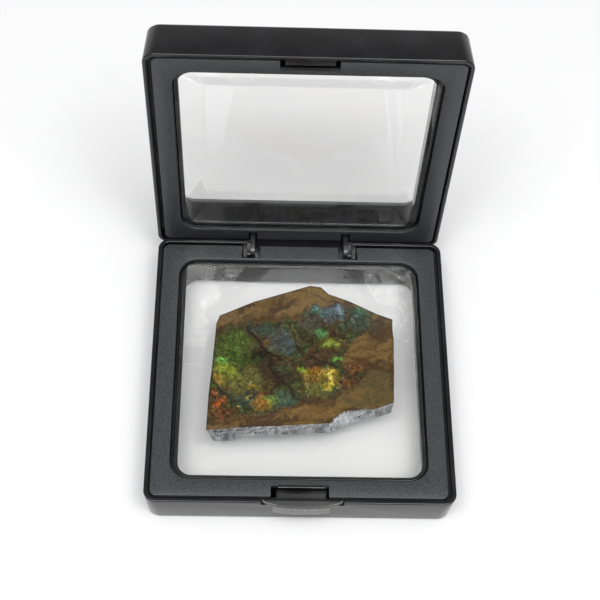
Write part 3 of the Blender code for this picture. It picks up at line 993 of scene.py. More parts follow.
@dataclass
class Film:
    """A clear film clamped over a half's lip and stretched to a level middle, with puckers."""

    layers: Layers
    half: Half
    height: float
    depth: float
    level: tuple[Point, ...]
    puckers: tuple[Pucker, ...]
    corner_blend: float = 6.0
    still_edge: float = 2.0
    rings: int = 64
    first_ring: float = 0.004
    path: SquarePath = SquarePath(per_corner=8, per_side=96)

    def sag(self, x: Array, y: Array) -> Array:
        """How far the film hangs: its depth at the level part, falling to nothing at the lip.

        The share of the depth is the way to the lip over that plus the way to the level part, where
        the way to the lip blends those to the four sides. The puckers then raise or sink it, fading
        out at the lip.
        """
        ways = np.clip(self.layers.film_free_edge - np.stack([x, -x, y, -y]), 1e-3, None)
        lip = (ways**-self.corner_blend).sum(axis=0) ** (-1 / self.corner_blend)
        rest = np.clip(-inside(x, y, self.level), 0, None)
        share = lip / (lip + rest)
        raised = sum((pucker.heights(x, y) for pucker in self.puckers), np.zeros_like(x))
        return self.depth * share - raised * smooth_step(lip / self.still_edge)

    def build(self, finish: bpy.types.Material) -> bpy.types.Object:
        """Nested rounded squares from the middle out, as two sheets joined at the edge."""
        share = np.sin(np.linspace(self.first_ring, math.pi / 2, self.rings))
        flat = np.outer(share, (self.layers.film_half, 0, self.layers.film_corner))
        upper = self.path.carry(flat)
        x, y = upper[:, :, 0], upper[:, :, 1]
        upper[:, :, 2] = self.height - self.layers.film_top - self.sag(x, y)
        lower = upper[::-1] - (0, 0, self.layers.film_thickness)
        grid = np.concatenate([upper, lower])
        rows, columns = grid.shape[:2]
        first, last = np.arange(columns), np.arange(columns) + (rows - 1) * columns
        skin = Skin(grid.reshape(-1, 3), weave(rows, columns), [first, last[::-1]])
        name = self.half.value + "_film"
        return set_out(name, skin.mesh(name), self.half, finish, crease=60)


@dataclass
class Latch:
    """The thumb lip with its skirt, and the tongue that carries the hook inside the front wall."""

    tips: tuple[float, float] = (-8.5, 9.45)
    tip_front: float = -34.6
    bulge: float = 1.4
    back: float = -34.0
    lip_heights: tuple[float, float] = (9.2, 10.2)
    skirt: tuple[float, float] = (-6.2, 6.6)
    skirt_bottom: float = 5.9
    skirt_back: float = -35.32
    tongue: tuple[float, float] = (-5.4, 6.0)
    tongue_heights: tuple[float, float] = (7.0, 8.3)
    hook: tuple[float, float] = (-5.1, 5.7)
    hook_ys: tuple[float, float] = (-31.9, -31.1)
    hook_top: float = 11.6
    wing_start: float = 5.9
    wing_slant: float = 0.75
    edge: float = 0.15
    skirt_edge: float = 0.12
    facing: float = 0.5
    grey_depth: float = 0.2

    @property
    def middle(self) -> float:
        """The middle of the lip along x."""
        return sum(self.tips) / 2

    def outline(self, left: float, right: float, back: float, steps: int = 40) -> Array:
        """The boat-shaped lip, its bulge falling away as the cube of the way out."""
        x = np.linspace(left, right, steps + 1)
        way_out = np.abs(x - self.middle) / (self.tips[1] - self.middle)
        front = self.tip_front - self.bulge * (1 - way_out**3)
        return np.concatenate([np.column_stack([x, front]), [(right, back), (left, back)]])

    def grey_faces(self, mesh: bpy.types.Mesh) -> None:
        """Gives the second, lighter grey material to the skirt's front and the lip's ends."""
        count = len(mesh.polygons)
        centre, normal = np.empty(count * 3), np.empty(count * 3)
        mesh.polygons.foreach_get("center", centre)
        mesh.polygons.foreach_get("normal", normal)
        centre, normal = centre.reshape(-1, 3) / MM, normal.reshape(-1, 3)
        under_lip = centre[:, 2] < self.lip_heights[0]
        on_skirt = centre[:, 1] < self.skirt_back + BASE_PLACE[1]
        front = under_lip & on_skirt & (normal[:, 1] < -self.facing)
        on_wing = np.abs(centre[:, 0] - self.middle) > self.wing_start
        on_top = centre[:, 2] > self.lip_heights[1] - self.grey_depth
        ends = on_wing & on_top & (normal[:, 2] > self.facing)
        mesh.polygons.foreach_set("material_index", (front | ends).astype(np.int32))

    def build(self, finish: bpy.types.Material, grey_finish: bpy.types.Material) -> bpy.types.Object:
        """Joins the lip, skirt, tongue and hook, and dresses them."""
        lip = prism(self.outline(*self.tips, self.back), *self.lip_heights).mesh("latch")
        skirt_outline = self.outline(*self.skirt, self.skirt_back)
        skirt = prism(skirt_outline, self.skirt_bottom, self.lip_heights[0] + ROOT)
        tongue = block(
            (self.tongue[0], self.skirt_back - ROOT, self.tongue_heights[0]),
            (self.tongue[1], self.hook_ys[1], self.tongue_heights[1]),
        )
        hook = block(
            (self.hook[0], self.hook_ys[0], self.tongue_heights[0] + ROOT),
            (self.hook[1], self.hook_ys[1] - STEP, self.hook_top),
        )
        added = [
            ease_edges(skirt.mesh("skirt"), self.skirt_edge),
            tongue.mesh("tongue"),
            ease_edges(hook.mesh("hook"), self.edge),
        ]
        made = machined(ease_edges(lip, self.edge), added, [])
        bm = bmesh.new()
        bm.from_mesh(made)
        for side in (-1, 1):
            at, across = (self.middle + side * self.wing_start, 0, 0), (side, self.wing_slant, 0)
            parts = [*bm.verts, *bm.edges, *bm.faces]
            bmesh.ops.bisect_plane(bm, geom=parts, plane_co=at, plane_no=across)
        bm.to_mesh(made)
        bm.free()
        piece = set_out("latch", made, Half.BASE, finish)
        piece.data.materials.append(grey_finish)
        self.grey_faces(piece.data)
        return piece


class Shade(Enum):
    """The colours of the slab, from its stone to the greens, golds and blues of the shell."""

    TAN = "#69532e"
    OCHRE = "#755a32"
    UMBER = "#41311c"
    BARK = "#2e2318"
    PITCH = "#17140f"
    RUST = "#472f19"
    BRICK = "#684021"
    DRAB = "#51472b"
    MOSS = "#353c20"
    GREEN = "#3f5a1d"
    BRIGHT_GREEN = "#61903a"
    LEAF = "#4b7a45"
    LIME = "#788724"
    OLIVE_GOLD = "#62602a"
    YELLOW = "#8c7624"
    LEMON = "#b8a03c"
    AMBER = "#83601f"
    ORANGE = "#95501c"
    TEAL = "#33443a"
    JADE = "#3f6650"
    SLATE = "#3d4746"
    STEEL = "#47565a"
    SKY = "#616f77"
    PLUM = "#4c423f"
    SILVER = "#bbbec0"

    @property
    def colour(self) -> Array:
        """The shade as linear red, green, blue and full alpha."""
        return np.array(linear(self.value))


class Cloud(Enum):
    """The random clouds: the width of the largest in millimetres, the seed and the octaves."""

    DRIFT_X = (3.6, 11, 3)
    FRAY_X = (1.1, 13, 3)
    DRIFT_Y = (3.6, 23, 3)
    FRAY_Y = (1.1, 29, 3)
    GRAIN = (2.0, 5, 4)
    GROUND = (2.6, 31, 3)
    LUMPS = (2.2, 47, 3)
    BREAK = (3.2, 61, 4)
    FACETS = (1.1, 91, 3)
    STREAKS = (1.4, 71, 3)
    PATCHES = (2.6, 77, 3)
    SPECKS = (0.9, 83, 3)


def blend(under: Array, over: Array, share: Array) -> Array:
    """Colours that go from under to over as the share at each place goes from 0 to 1."""
    return under + (over - under) * share[..., None]


def clouds(x: Array, y: Array, kind: Cloud) -> Array:
    """Soft random clouds of about -1 to 1: random heights on a lattice, blended smoothly.

    Each octave adds the clouds again at half the size and half the height.

    Args:
        x: places along x in millimetres.
        y: places along y in millimetres.
        kind: which clouds these are.

    Returns:
        The height at each place.
    """
    size, seed, octaves = kind.value
    cells, far_off, gain = 64, 500.0, 1.6
    total, weight = np.zeros_like(x), 0.0
    for octave in range(octaves):
        lattice = np.random.default_rng(seed + octave).uniform(-1, 1, (cells, cells))
        u, v = (place / size * 2**octave + far_off for place in (x, y))
        column, row = np.floor(u).astype(int), np.floor(v).astype(int)
        across, down = smooth_step(u - column), smooth_step(v - row)
        near, far = (
            lattice[line % cells, column % cells] * (1 - across)
            + lattice[line % cells, (column + 1) % cells] * across
            for line in (row, row + 1)
        )
        total += (near * (1 - down) + far * down) / 2**octave
        weight += 1 / 2**octave
    return total / weight * gain


def to_segment(x: Array, y: Array, start: Point, end: Point) -> Array:
    """The distance from each place to a straight segment."""
    way = np.subtract(end, start)
    share = np.clip(((x - start[0]) * way[0] + (y - start[1]) * way[1]) / (way @ way), 0, 1)
    return np.hypot(x - start[0] - share * way[0], y - start[1] - share * way[1])


def to_line(x: Array, y: Array, points: tuple[Point, ...]) -> Array:
    """The distance from each place to the nearest stretch of a line through points."""
    return np.min([to_segment(x, y, start, end) for start, end in zip(points, points[1:])], axis=0)


def inside(x: Array, y: Array, outline: tuple[Point, ...]) -> Array:
    """How far each place lies inside an outline, and less than 0 outside.

    A place is inside where the number of sides to its right is odd.
    """
    odd = np.zeros(x.shape, bool)
    for (ax, ay), (bx, by) in zip(outline, outline[1:] + outline[:1]):
        spans = (ay > y) != (by > y)
        crossing = ax + (y - ay) * (bx - ax) / (by - ay if by != ay else 1.0)
        odd ^= spans & (x < crossing)
    return np.where(odd, 1.0, -1.0) * to_line(x, y, outline + outline[:1])


@dataclass(frozen=True)
class Stain:
    """A patch of colour in the polished top: an ellipse with a ragged edge that fades out."""

    shade: Shade
    x: float
    y: float
    long: float
    wide: float
    turn: float = 0.0
    depth: float = 0.85
    gone: float = 1.5
    fade: float = 1.1

    def cover(self, x: Array, y: Array) -> Array:
        """How fully it covers each place: it is gone at some times its reach, and fades before."""
        along, across = turned(x - self.x, y - self.y, self.turn)
        out = np.hypot(along / self.long, across / self.wide)
        return self.depth * smooth_step((self.gone - out) / self.fade)


@dataclass(frozen=True)
class Vein:
    """A crack or rusty seam that wanders through points, sunk a little into the polish."""

    shade: Shade
    width: float
    points: tuple[Point, ...]
    depth: float = 0.85
    groove: float = 0.025

    def cover(self, x: Array, y: Array) -> Array:
        """How fully the vein covers each place: a bell across its line."""
        return np.exp(-((to_line(x, y, self.points) / self.width) ** 2))


@dataclass(frozen=True)
class Chip:
    """A shell-shaped break at an edge: an ellipsoid whose room is taken from the slab."""

    x: float
    y: float
    z: float
    long: float
    wide: float
    deep: float
    turn: float
    beyond: float = 1e3

    def face(self, x: Array, y: Array) -> Array:
        """The height of the ellipsoid's lower face over each place, and far above outside it."""
        along, across = turned(x - self.x, y - self.y, self.turn)
        left = 1 - (along / self.long) ** 2 - (across / self.wide) ** 2
        return np.where(left > 0, self.z - self.deep * np.sqrt(np.clip(left, 0, 1)), self.beyond)


@dataclass(frozen=True)
class PitShade:
    """Painted shade of a small hollow in the broken front face, as a soft-edged dark oblong."""

    x: float
    z: float
    long: float
    high: float

    def cover(self, x: Array, z: Array) -> Array:
        """How dark it makes each place: a flat-topped bell both ways."""
        return np.exp(-(((x - self.x) / self.long) ** 4) - ((z - self.z) / self.high) ** 4)


@dataclass
class Slab:
    """The specimen: a slab with steep broken sides and a polished, gently uneven top."""

    outline: tuple[Point, ...]
    shell: tuple[Point, ...]
    facet: tuple[Point, ...]
    stains: tuple[Stain, ...]
    veins: tuple[Vein, ...]
    chips: tuple[Chip, ...]
    pit_shades: tuple[PitShade, ...]
    bottom: float = 7.5
    top: float = 12.4
    edge: float = 0.15
    around: int = 600
    inward: int = 78
    down: int = 30
    undercut: Point = (-22.0, -18.0)
    undercut_reach: float = 2.0
    undercut_depth: float = 1.6
    toe: Point = (-17.3, -18.1)
    toe_reach: float = 3.6
    toe_depth: float = 1.1
    grain_turn: float = 18.0
    drift: float = 1.3
    fray: float = 0.8
    facet_cover: float = 0.85
    wave_height: float = 0.1
    lump_height: float = 0.05
    hollow: float = 0.22
    break_depth: float = 0.22
    foot_flare: float = 0.12
    foot_share: float = 0.05
    mean_spacing: float = 0.225
    facet_steps: float = 2.5
    facet_height: float = 0.16
    fresh_edge: float = 0.08
    # How dark and how wide the painted shade along the top's edge is.
    painted_edge_shade: float = 0.5
    painted_edge_shade_reach: float = 0.3
    stone_tan: Point = (0.62, 1.15)
    grain_stretch: Point = (0.3, 1.1)
    facet_fade: float = 0.5
    shell_fade: float = 0.9
    moss_contrast: float = 1.1
    vein_dulls: float = 0.8
    edge_steps: int = 5
    edge_broken: Point = (0.9, 0.2)
    last_ring: float = 0.01
    relief_start: float = 1.2

    def rim(self) -> Array:
        """Points at even spacing round the outline."""
        corners = np.array(self.outline + (self.outline[0],))
        along = np.concatenate([[0.0], np.cumsum(np.hypot(*np.diff(corners, axis=0).T))])
        wanted = np.linspace(0.0, along[-1], self.around, endpoint=False)
        return np.column_stack([np.interp(wanted, along, corners[:, axis]) for axis in (0, 1)])

    def wander(self, x: Array, y: Array) -> tuple[Array, Array]:
        """Places pushed about by clouds, which makes the edges of stains and veins ragged."""
        bent_x, bent_y = (
            place + self.drift * clouds(x, y, wide) + self.fray * clouds(x, y, fine)
            for place, wide, fine in (
                (x, Cloud.DRIFT_X, Cloud.FRAY_X),
                (y, Cloud.DRIFT_Y, Cloud.FRAY_Y),
            )
        )
        return bent_x, bent_y

    def top_colours(self, x: Array, y: Array) -> tuple[Array, Array]:
        """Colours the polished top: stone, the shell over it, then each stain and vein in order.

        Args:
            x: places along x.
            y: places along y.

        Returns:
            Linear colours, and how much play of colour each place has.
        """
        bent_x, bent_y = self.wander(x, y)
        along, across = turned(bent_x, bent_y, self.grain_turn)
        (tan, contrast), (lengthwise, crosswise) = self.stone_tan, self.grain_stretch
        grain = clouds(along * lengthwise, across * crosswise, Cloud.GRAIN)
        stone = smooth_step(tan + contrast * grain)
        colour = blend(Shade.UMBER.colour, Shade.TAN.colour, stone)
        flat = self.facet_cover * smooth_step(0.5 + inside(x, y, self.facet) / self.facet_fade)
        colour = blend(colour, Shade.DRAB.colour, flat)
        play = smooth_step(0.5 + inside(bent_x, bent_y, self.shell) / self.shell_fade)
        moss = smooth_step(0.5 + self.moss_contrast * clouds(x, y, Cloud.GROUND))
        colour = blend(colour, blend(Shade.UMBER.colour, Shade.MOSS.colour, moss), play)
        for stain in self.stains:
            colour = blend(colour, stain.shade.colour, stain.cover(bent_x, bent_y))
        for vein in self.veins:
            cover = vein.depth * vein.cover((x + bent_x) / 2, (y + bent_y) / 2)
            colour = blend(colour, vein.shade.colour, cover)
            play = play * (1 - self.vein_dulls * cover)
        return colour, play

    def relief(self, x: Array, y: Array) -> Array:
        """The top's height: slow waves and slight lumps in the shell, less each vein's groove."""
        bent_x, bent_y = self.wander(x, y)
        waves = np.sin(0.31 * x + 0.9) * np.cos(0.27 * y) + 0.6 * np.sin(0.52 * y - 0.23 * x)
        lumps = clouds(x, y, Cloud.LUMPS) * smooth_step(0.5 + inside(bent_x, bent_y, self.shell))
        grooves = sum(vein.groove * vein.cover(bent_x, bent_y) for vein in self.veins)
        return self.wave_height * waves + self.lump_height * lumps - grooves

    def grid(self) -> tuple[Array, Array]:
        """Rings up the broken side, round the top edge and in over the top.

        Returns:
            The points, and for each ring how much of it is broken face.
        """
        rim = self.rim()
        centre = rim.mean(axis=0)
        away = rim - centre
        reach = np.hypot(*away.T)
        unit = away / reach[:, None]
        along = np.linspace(0, self.around * self.mean_spacing, self.around)[None, :]
        rise = np.linspace(0, 1, self.down)[:, None]
        height = self.bottom + rise * (self.top - self.edge - self.bottom) + 0 * along
        flare = self.foot_flare * np.clip(1 - rise / self.foot_share, 0, 1)
        rough = self.break_depth * clouds(along + 0 * rise, height * 1.6, Cloud.BREAK)
        corner = np.hypot(*(rim - self.undercut).T) / self.undercut_reach
        foot = np.hypot(*(rim - self.toe).T) / self.toe_reach
        bite = self.undercut_depth * np.exp(-(corner**2)) - self.toe_depth * np.exp(-(foot**4))
        belly = np.sin(np.pi * rise)
        inset = self.hollow * belly + flare + rough * belly**0.5 + (1 - rise) * bite[None]
        side = np.concatenate([rim - unit * inset[..., None], height[..., None]], 2)
        turn = np.linspace(0, math.pi / 2, self.edge_steps + 1)[1:, None]
        bend = np.concatenate(
            [
                rim - unit * (self.edge * (1 - np.cos(turn)))[..., None],
                (self.top - self.edge * (1 - np.sin(turn)) + 0 * along)[..., None],
            ],
            2,
        )
        scale = np.linspace(1.0, self.last_ring, self.inward)[1:, None, None]
        flat = centre + (away - unit * self.edge) * scale
        depth = (reach[None] - self.edge) * (1 - scale[..., 0])
        settled = smooth_step(depth / self.relief_start)
        level = self.top + self.relief(flat[..., 0], flat[..., 1]) * settled
        over = np.concatenate([flat, level[..., None]], 2)
        edge_broken = np.linspace(*self.edge_broken, self.edge_steps)
        broken = [np.ones(self.down), edge_broken, np.zeros(self.inward - 1)]
        return np.concatenate([side, bend, over]), np.concatenate(broken)

    def face_colours(self, x: Array, y: Array, z: Array, fresh: Array) -> Array:
        """Colours the broken faces: silver with upright streaks, patches, dark specks and painted
        shade in hollows.

        Args:
            x: places along x.
            y: places along y.
            z: heights.
            fresh: how far each place lies in a chip, which is lighter by painted reflection and has
                no specks.

        Returns:
            Linear colours.
        """
        streak = smooth_step(0.5 + 1.1 * clouds((x + y) * 1.6, z * 0.35, Cloud.STREAKS))
        patch = smooth_step(0.5 + 0.8 * clouds(x - y, z * 1.2, Cloud.PATCHES))
        rise = (z - self.bottom) / 5
        speck = smooth_step(2.4 * clouds(x * 1.3 + y, z * 1.6, Cloud.SPECKS) - 1.2 + 0.8 * rise)
        # Painted shade where the front face has small hollows, mixed with the dark specks.
        pit_shades = np.max([pit_shade.cover(x, z) for pit_shade in self.pit_shades], axis=0) * (y < 0)
        dark = np.maximum(speck, pit_shades) * (1 - fresh)
        # The silver is partly the faces' own grey and partly painted reflection of the pale floor;
        # chips are lightened further by painted reflection.
        light = (0.35 + 0.4 * streak + 0.35 * patch) * (1 - 0.9 * dark) + 0.5 * fresh
        return Shade.SILVER.colour * light[..., None]

    def build(self, finish: bpy.types.Material) -> bpy.types.Object:
        """Makes the slab's mesh and gives it its colour, play and broken attributes."""
        grid, broken = self.grid()
        rows, columns = grid.shape[:2]
        x, y = grid[..., 0], grid[..., 1]
        steps = np.round(self.facet_steps * clouds(x, y, Cloud.FACETS))
        facets = self.facet_height * steps / self.facet_steps
        chipped = np.min([chip.face(x, y) for chip in self.chips], axis=0) + facets
        fresh = smooth_step((grid[..., 2] - chipped) / self.fresh_edge)
        grid[..., 2] = np.minimum(grid[..., 2], chipped)
        colour, play = self.top_colours(x, y)
        # Painted shade: the top darkens in a thin band along its edge.
        from_rim = inside(x, y, self.outline) / self.painted_edge_shade_reach
        colour[..., :3] *= (1 - self.painted_edge_shade * np.exp(-(from_rim**2)))[..., None]
        share = np.maximum(np.broadcast_to(broken[:, None], x.shape), fresh)
        face = self.face_colours(x, y, grid[..., 2], fresh)
        colour = blend(colour, face, smooth_step(share * 1.6 - 0.3))
        first, last = np.arange(columns), np.arange(columns) + (rows - 1) * columns
        skin = Skin(grid.reshape(-1, 3), weave(rows, columns), [first[::-1], last])
        mesh = skin.mesh("ammolite_slab")
        layer = mesh.attributes.new("surface_colour", "FLOAT_COLOR", "POINT")
        layer.data.foreach_set("color", colour.reshape(-1, 4).astype(np.float32).ravel())
        for name, values in (("play", play), ("broken", share)):
            layer = mesh.attributes.new(name, "FLOAT", "POINT")
            layer.data.foreach_set("value", np.ascontiguousarray(values, np.float32).ravel())
        return set_out("ammolite_slab", mesh, Half.BASE, finish, crease=50)


def heading(azimuth: float, elevation: float) -> Vector:
    """The direction from the case at some degrees round from its front and some degrees up."""
    turn, lift = math.radians(azimuth), math.radians(elevation)
    flat = math.cos(lift)
    return Vector((math.sin(turn) * flat, -math.cos(turn) * flat, math.sin(lift)))


@dataclass(frozen=True)
class Lamp:
    """A square light that faces the case. Angles are in degrees, lengths in metres."""

    name: str
    azimuth: float
    reach: float
    size: float
    power: float
    elevation: float = 66.0

    def add(self) -> None:
        """Hangs the lamp in the scene."""
        light = bpy.data.lights.new(self.name, "AREA")
        light.size = self.size
        light.energy = self.power
        lamp = bpy.data.objects.new(self.name, light)
        lamp.location = heading(self.azimuth, self.elevation) * self.reach
        lamp.rotation_euler = (-lamp.location).to_track_quat("-Z", "Y").to_euler()
        bpy.context.scene.collection.objects.link(lamp)


@dataclass(frozen=True)
class Studio:
    """The stage: a pale floor, a room that is brightest overhead, four lamps and the camera.

    Places are in millimetres. The two wide lamps give the soft shadows, and the two small ones in
    front of them give the glints. Heights and depths are those of a direction's unit vector.
    """

    target: tuple[float, float, float] = (0.352, 18.938, 0.0)
    distance: float = 338.83
    azimuth: float = -3.482
    elevation: float = 58.615
    roll: float = 3.962
    lens: float = 81.016
    sensor: float = 36.0
    clip: tuple[float, float] = (0.01, 10.0)
    floor_half: float = 900.0
    brightest: tuple[float, float, float] = (0.0, -0.15, 0.99)
    falloff: float = 3.0
    room: float = 1.67
    back_room: float = 0.3
    back_depths: tuple[float, float] = (0.08, 0.34)
    dim_room: float = 0.08
    sweep: float = 0.9
    sweep_heights: tuple[float, float] = (0.1, 0.8)
    sweep_depths: tuple[float, float] = (-0.1, 0.4)
    lamps: tuple[Lamp, ...] = (
        Lamp("right_lamp", 35.0, 0.7, 0.3, 1.6),
        Lamp("left_lamp", -35.0, 0.7, 0.3, 1.3),
        Lamp("right_bulb", 35.0, 0.66, 0.05, 0.2),
        Lamp("left_bulb", -35.0, 0.66, 0.05, 0.2),
    )

    def camera(self) -> bpy.types.Object:
        """The camera, at its distance from the target along its heading, then rolled."""
        roll = math.radians(self.roll)
        back = heading(self.azimuth, self.elevation)
        right = Vector((0, 0, 1)).cross(back).normalized()
        up = back.cross(right)
        rolled_right = math.cos(roll) * right + math.sin(roll) * up
        rolled_up = math.cos(roll) * up - math.sin(roll) * right
        lens = bpy.data.cameras.new("camera")
        lens.sensor_width = self.sensor
        lens.lens = self.lens
        lens.clip_start, lens.clip_end = self.clip
        camera = bpy.data.objects.new("camera", lens)
        place = Matrix((rolled_right, rolled_up, back)).transposed().to_4x4()
        place.translation = (Vector(self.target) + back * self.distance) * MM
        camera.matrix_world = place
        bpy.context.scene.collection.objects.link(camera)
        bpy.context.scene.camera = camera
        return camera

    def floor(self) -> bpy.types.Object:
        """A wide flat sheet under the case."""
        half = self.floor_half * MM
        mesh = bpy.data.meshes.new("floor")
        corners = [(-half, -half, 0), (half, -half, 0), (half, half, 0), (-half, half, 0)]
        mesh.from_pydata(corners, [], [(0, 1, 2, 3)])
        mesh.materials.append(PaperWhite().material())
        sheet = bpy.data.objects.new("floor", mesh)
        bpy.context.scene.collection.objects.link(sheet)
        return sheet

    def light(self) -> None:
        """The lamps and the room's light.

        The room's strength is how far a direction points to the brightest one, to a power, times a
        brightness that falls off towards the back. A dim evenness is added, and a white sweep low
        behind.
        """
        world = bpy.data.worlds.new("room")
        bpy.context.scene.world = world
        world.use_nodes = True
        tree = world.node_tree
        backdrop = tree.nodes["Background"]
        backdrop.inputs["Color"].default_value = (1, 1, 1, 1)
        way = add_node(tree, "ShaderNodeTexCoord").outputs["Generated"]
        dot = {"operation": "DOT_PRODUCT", 0: way, 1: self.brightest}
        high = add_node(tree, "ShaderNodeVectorMath", dot).outputs["Value"]
        bent = calculated(tree, "POWER", calculated(tree, "MAXIMUM", high, 0.0), self.falloff)
        parts = add_node(tree, "ShaderNodeSeparateXYZ", {0: way}).outputs
        low = spread(tree, parts["Z"], 1.0, 0.0, *self.sweep_heights)
        behind = spread(tree, parts["Y"], 0.0, self.sweep, *self.sweep_depths)
        even = calculated(tree, "MULTIPLY_ADD", low, behind, self.dim_room)
        bright = spread(tree, parts["Y"], self.room, self.back_room, *self.back_depths)
        glow = calculated(tree, "MULTIPLY_ADD", bent, bright, even)
        tree.links.new(glow, backdrop.inputs["Strength"])
        for lamp in self.lamps:
            lamp.add()
        bpy.context.scene.view_settings.view_transform = "Standard"


BASE_PUCKERS = (
    Pucker(17.4, 26.1, (0.19, 0.5), 1.6, 1.0, -62),
    Pucker(18.3, 24.2, (0.19, 0.5), 1.6, 1.0, -62),
    Pucker(19.4, 22.0, (0.17, 0.45), 1.6, 0.9, -62),
    Pucker(24.4, 25.4, (-0.2, 0.5), 1.8, 0.9, -75),
    Pucker(25.0, 22.2, (-0.2, 0.5), 1.8, 0.8, -75),
    Pucker(25.7, 18.2, (-0.18, 0.46), 1.5, 0.8, -70),
    Pucker(25.6, 7.6, (-0.18, 0.5), 1.1, 0.8, -40),
    Pucker(-17.0, 25.2, (0.1, 0.34), 1.2, 0.8, 20),
)
LID_PUCKERS = (
    Pucker(-20.0, 0.0, (0.06, 0.0), 22.0, 1.6, 78),
    Pucker(-15.5, 4.0, (0.05, 0.0), 16.0, 1.4, 78),
    Pucker(21.0, 0.0, (-0.06, 0.0), 22.0, 1.5, 100),
)
LID_LEVEL = ((-22.4, -22.4), (22.4, -22.4), (22.4, 22.4), (-22.4, 22.4))
SLAB_OUTLINE = (
    (-19.2, 11.8), (-20.0, 9.5), (-20.1, 7.3), (-20.7, -2.7), (-21.2, -9.1), (-21.5, -18.5),
    (-10.6, -17.5), (-4.1, -17.2), (6.8, -16.4), (8.7, -15.6), (12.9, -13.5), (17.6, -12.4),
    (21.5, -10.9), (21.9, -2.0), (22.1, 6.2), (21.9, 8.8), (22.0, 11.5), (18.4, 12.9),
    (11.9, 16.3), (6.8, 18.3), (5.0, 20.2), (2.4, 20.6), (-4.3, 18.2), (-11.1, 15.8),
)
SHELL_OUTLINE = (
    (-20.5, 7.0), (-16.5, 9.5), (-13.5, 10.5), (-8.5, 11.0), (-4.5, 11.5), (-0.5, 12.0),
    (2.5, 14.0), (6.0, 16.0), (9.5, 16.5), (16.0, 13.5), (16.5, 9.0), (13.5, 6.0),
    (11.0, 3.5), (10.5, -1.5), (15.5, -1.0), (14.5, -4.5), (11.5, -7.5), (8.5, -10.0),
    (4.0, -10.5), (-0.5, -11.5), (-5.0, -14.0), (-12.0, -15.5), (-18.0, -17.0), (-22.5, -17.5),
    (-22.0, -9.0), (-21.5, -2.5),
)
FACET_OUTLINE = ((16.4, -2.1), (21.4, -3.2), (21.0, -10.9), (13.0, -12.2), (9.8, -10.8))
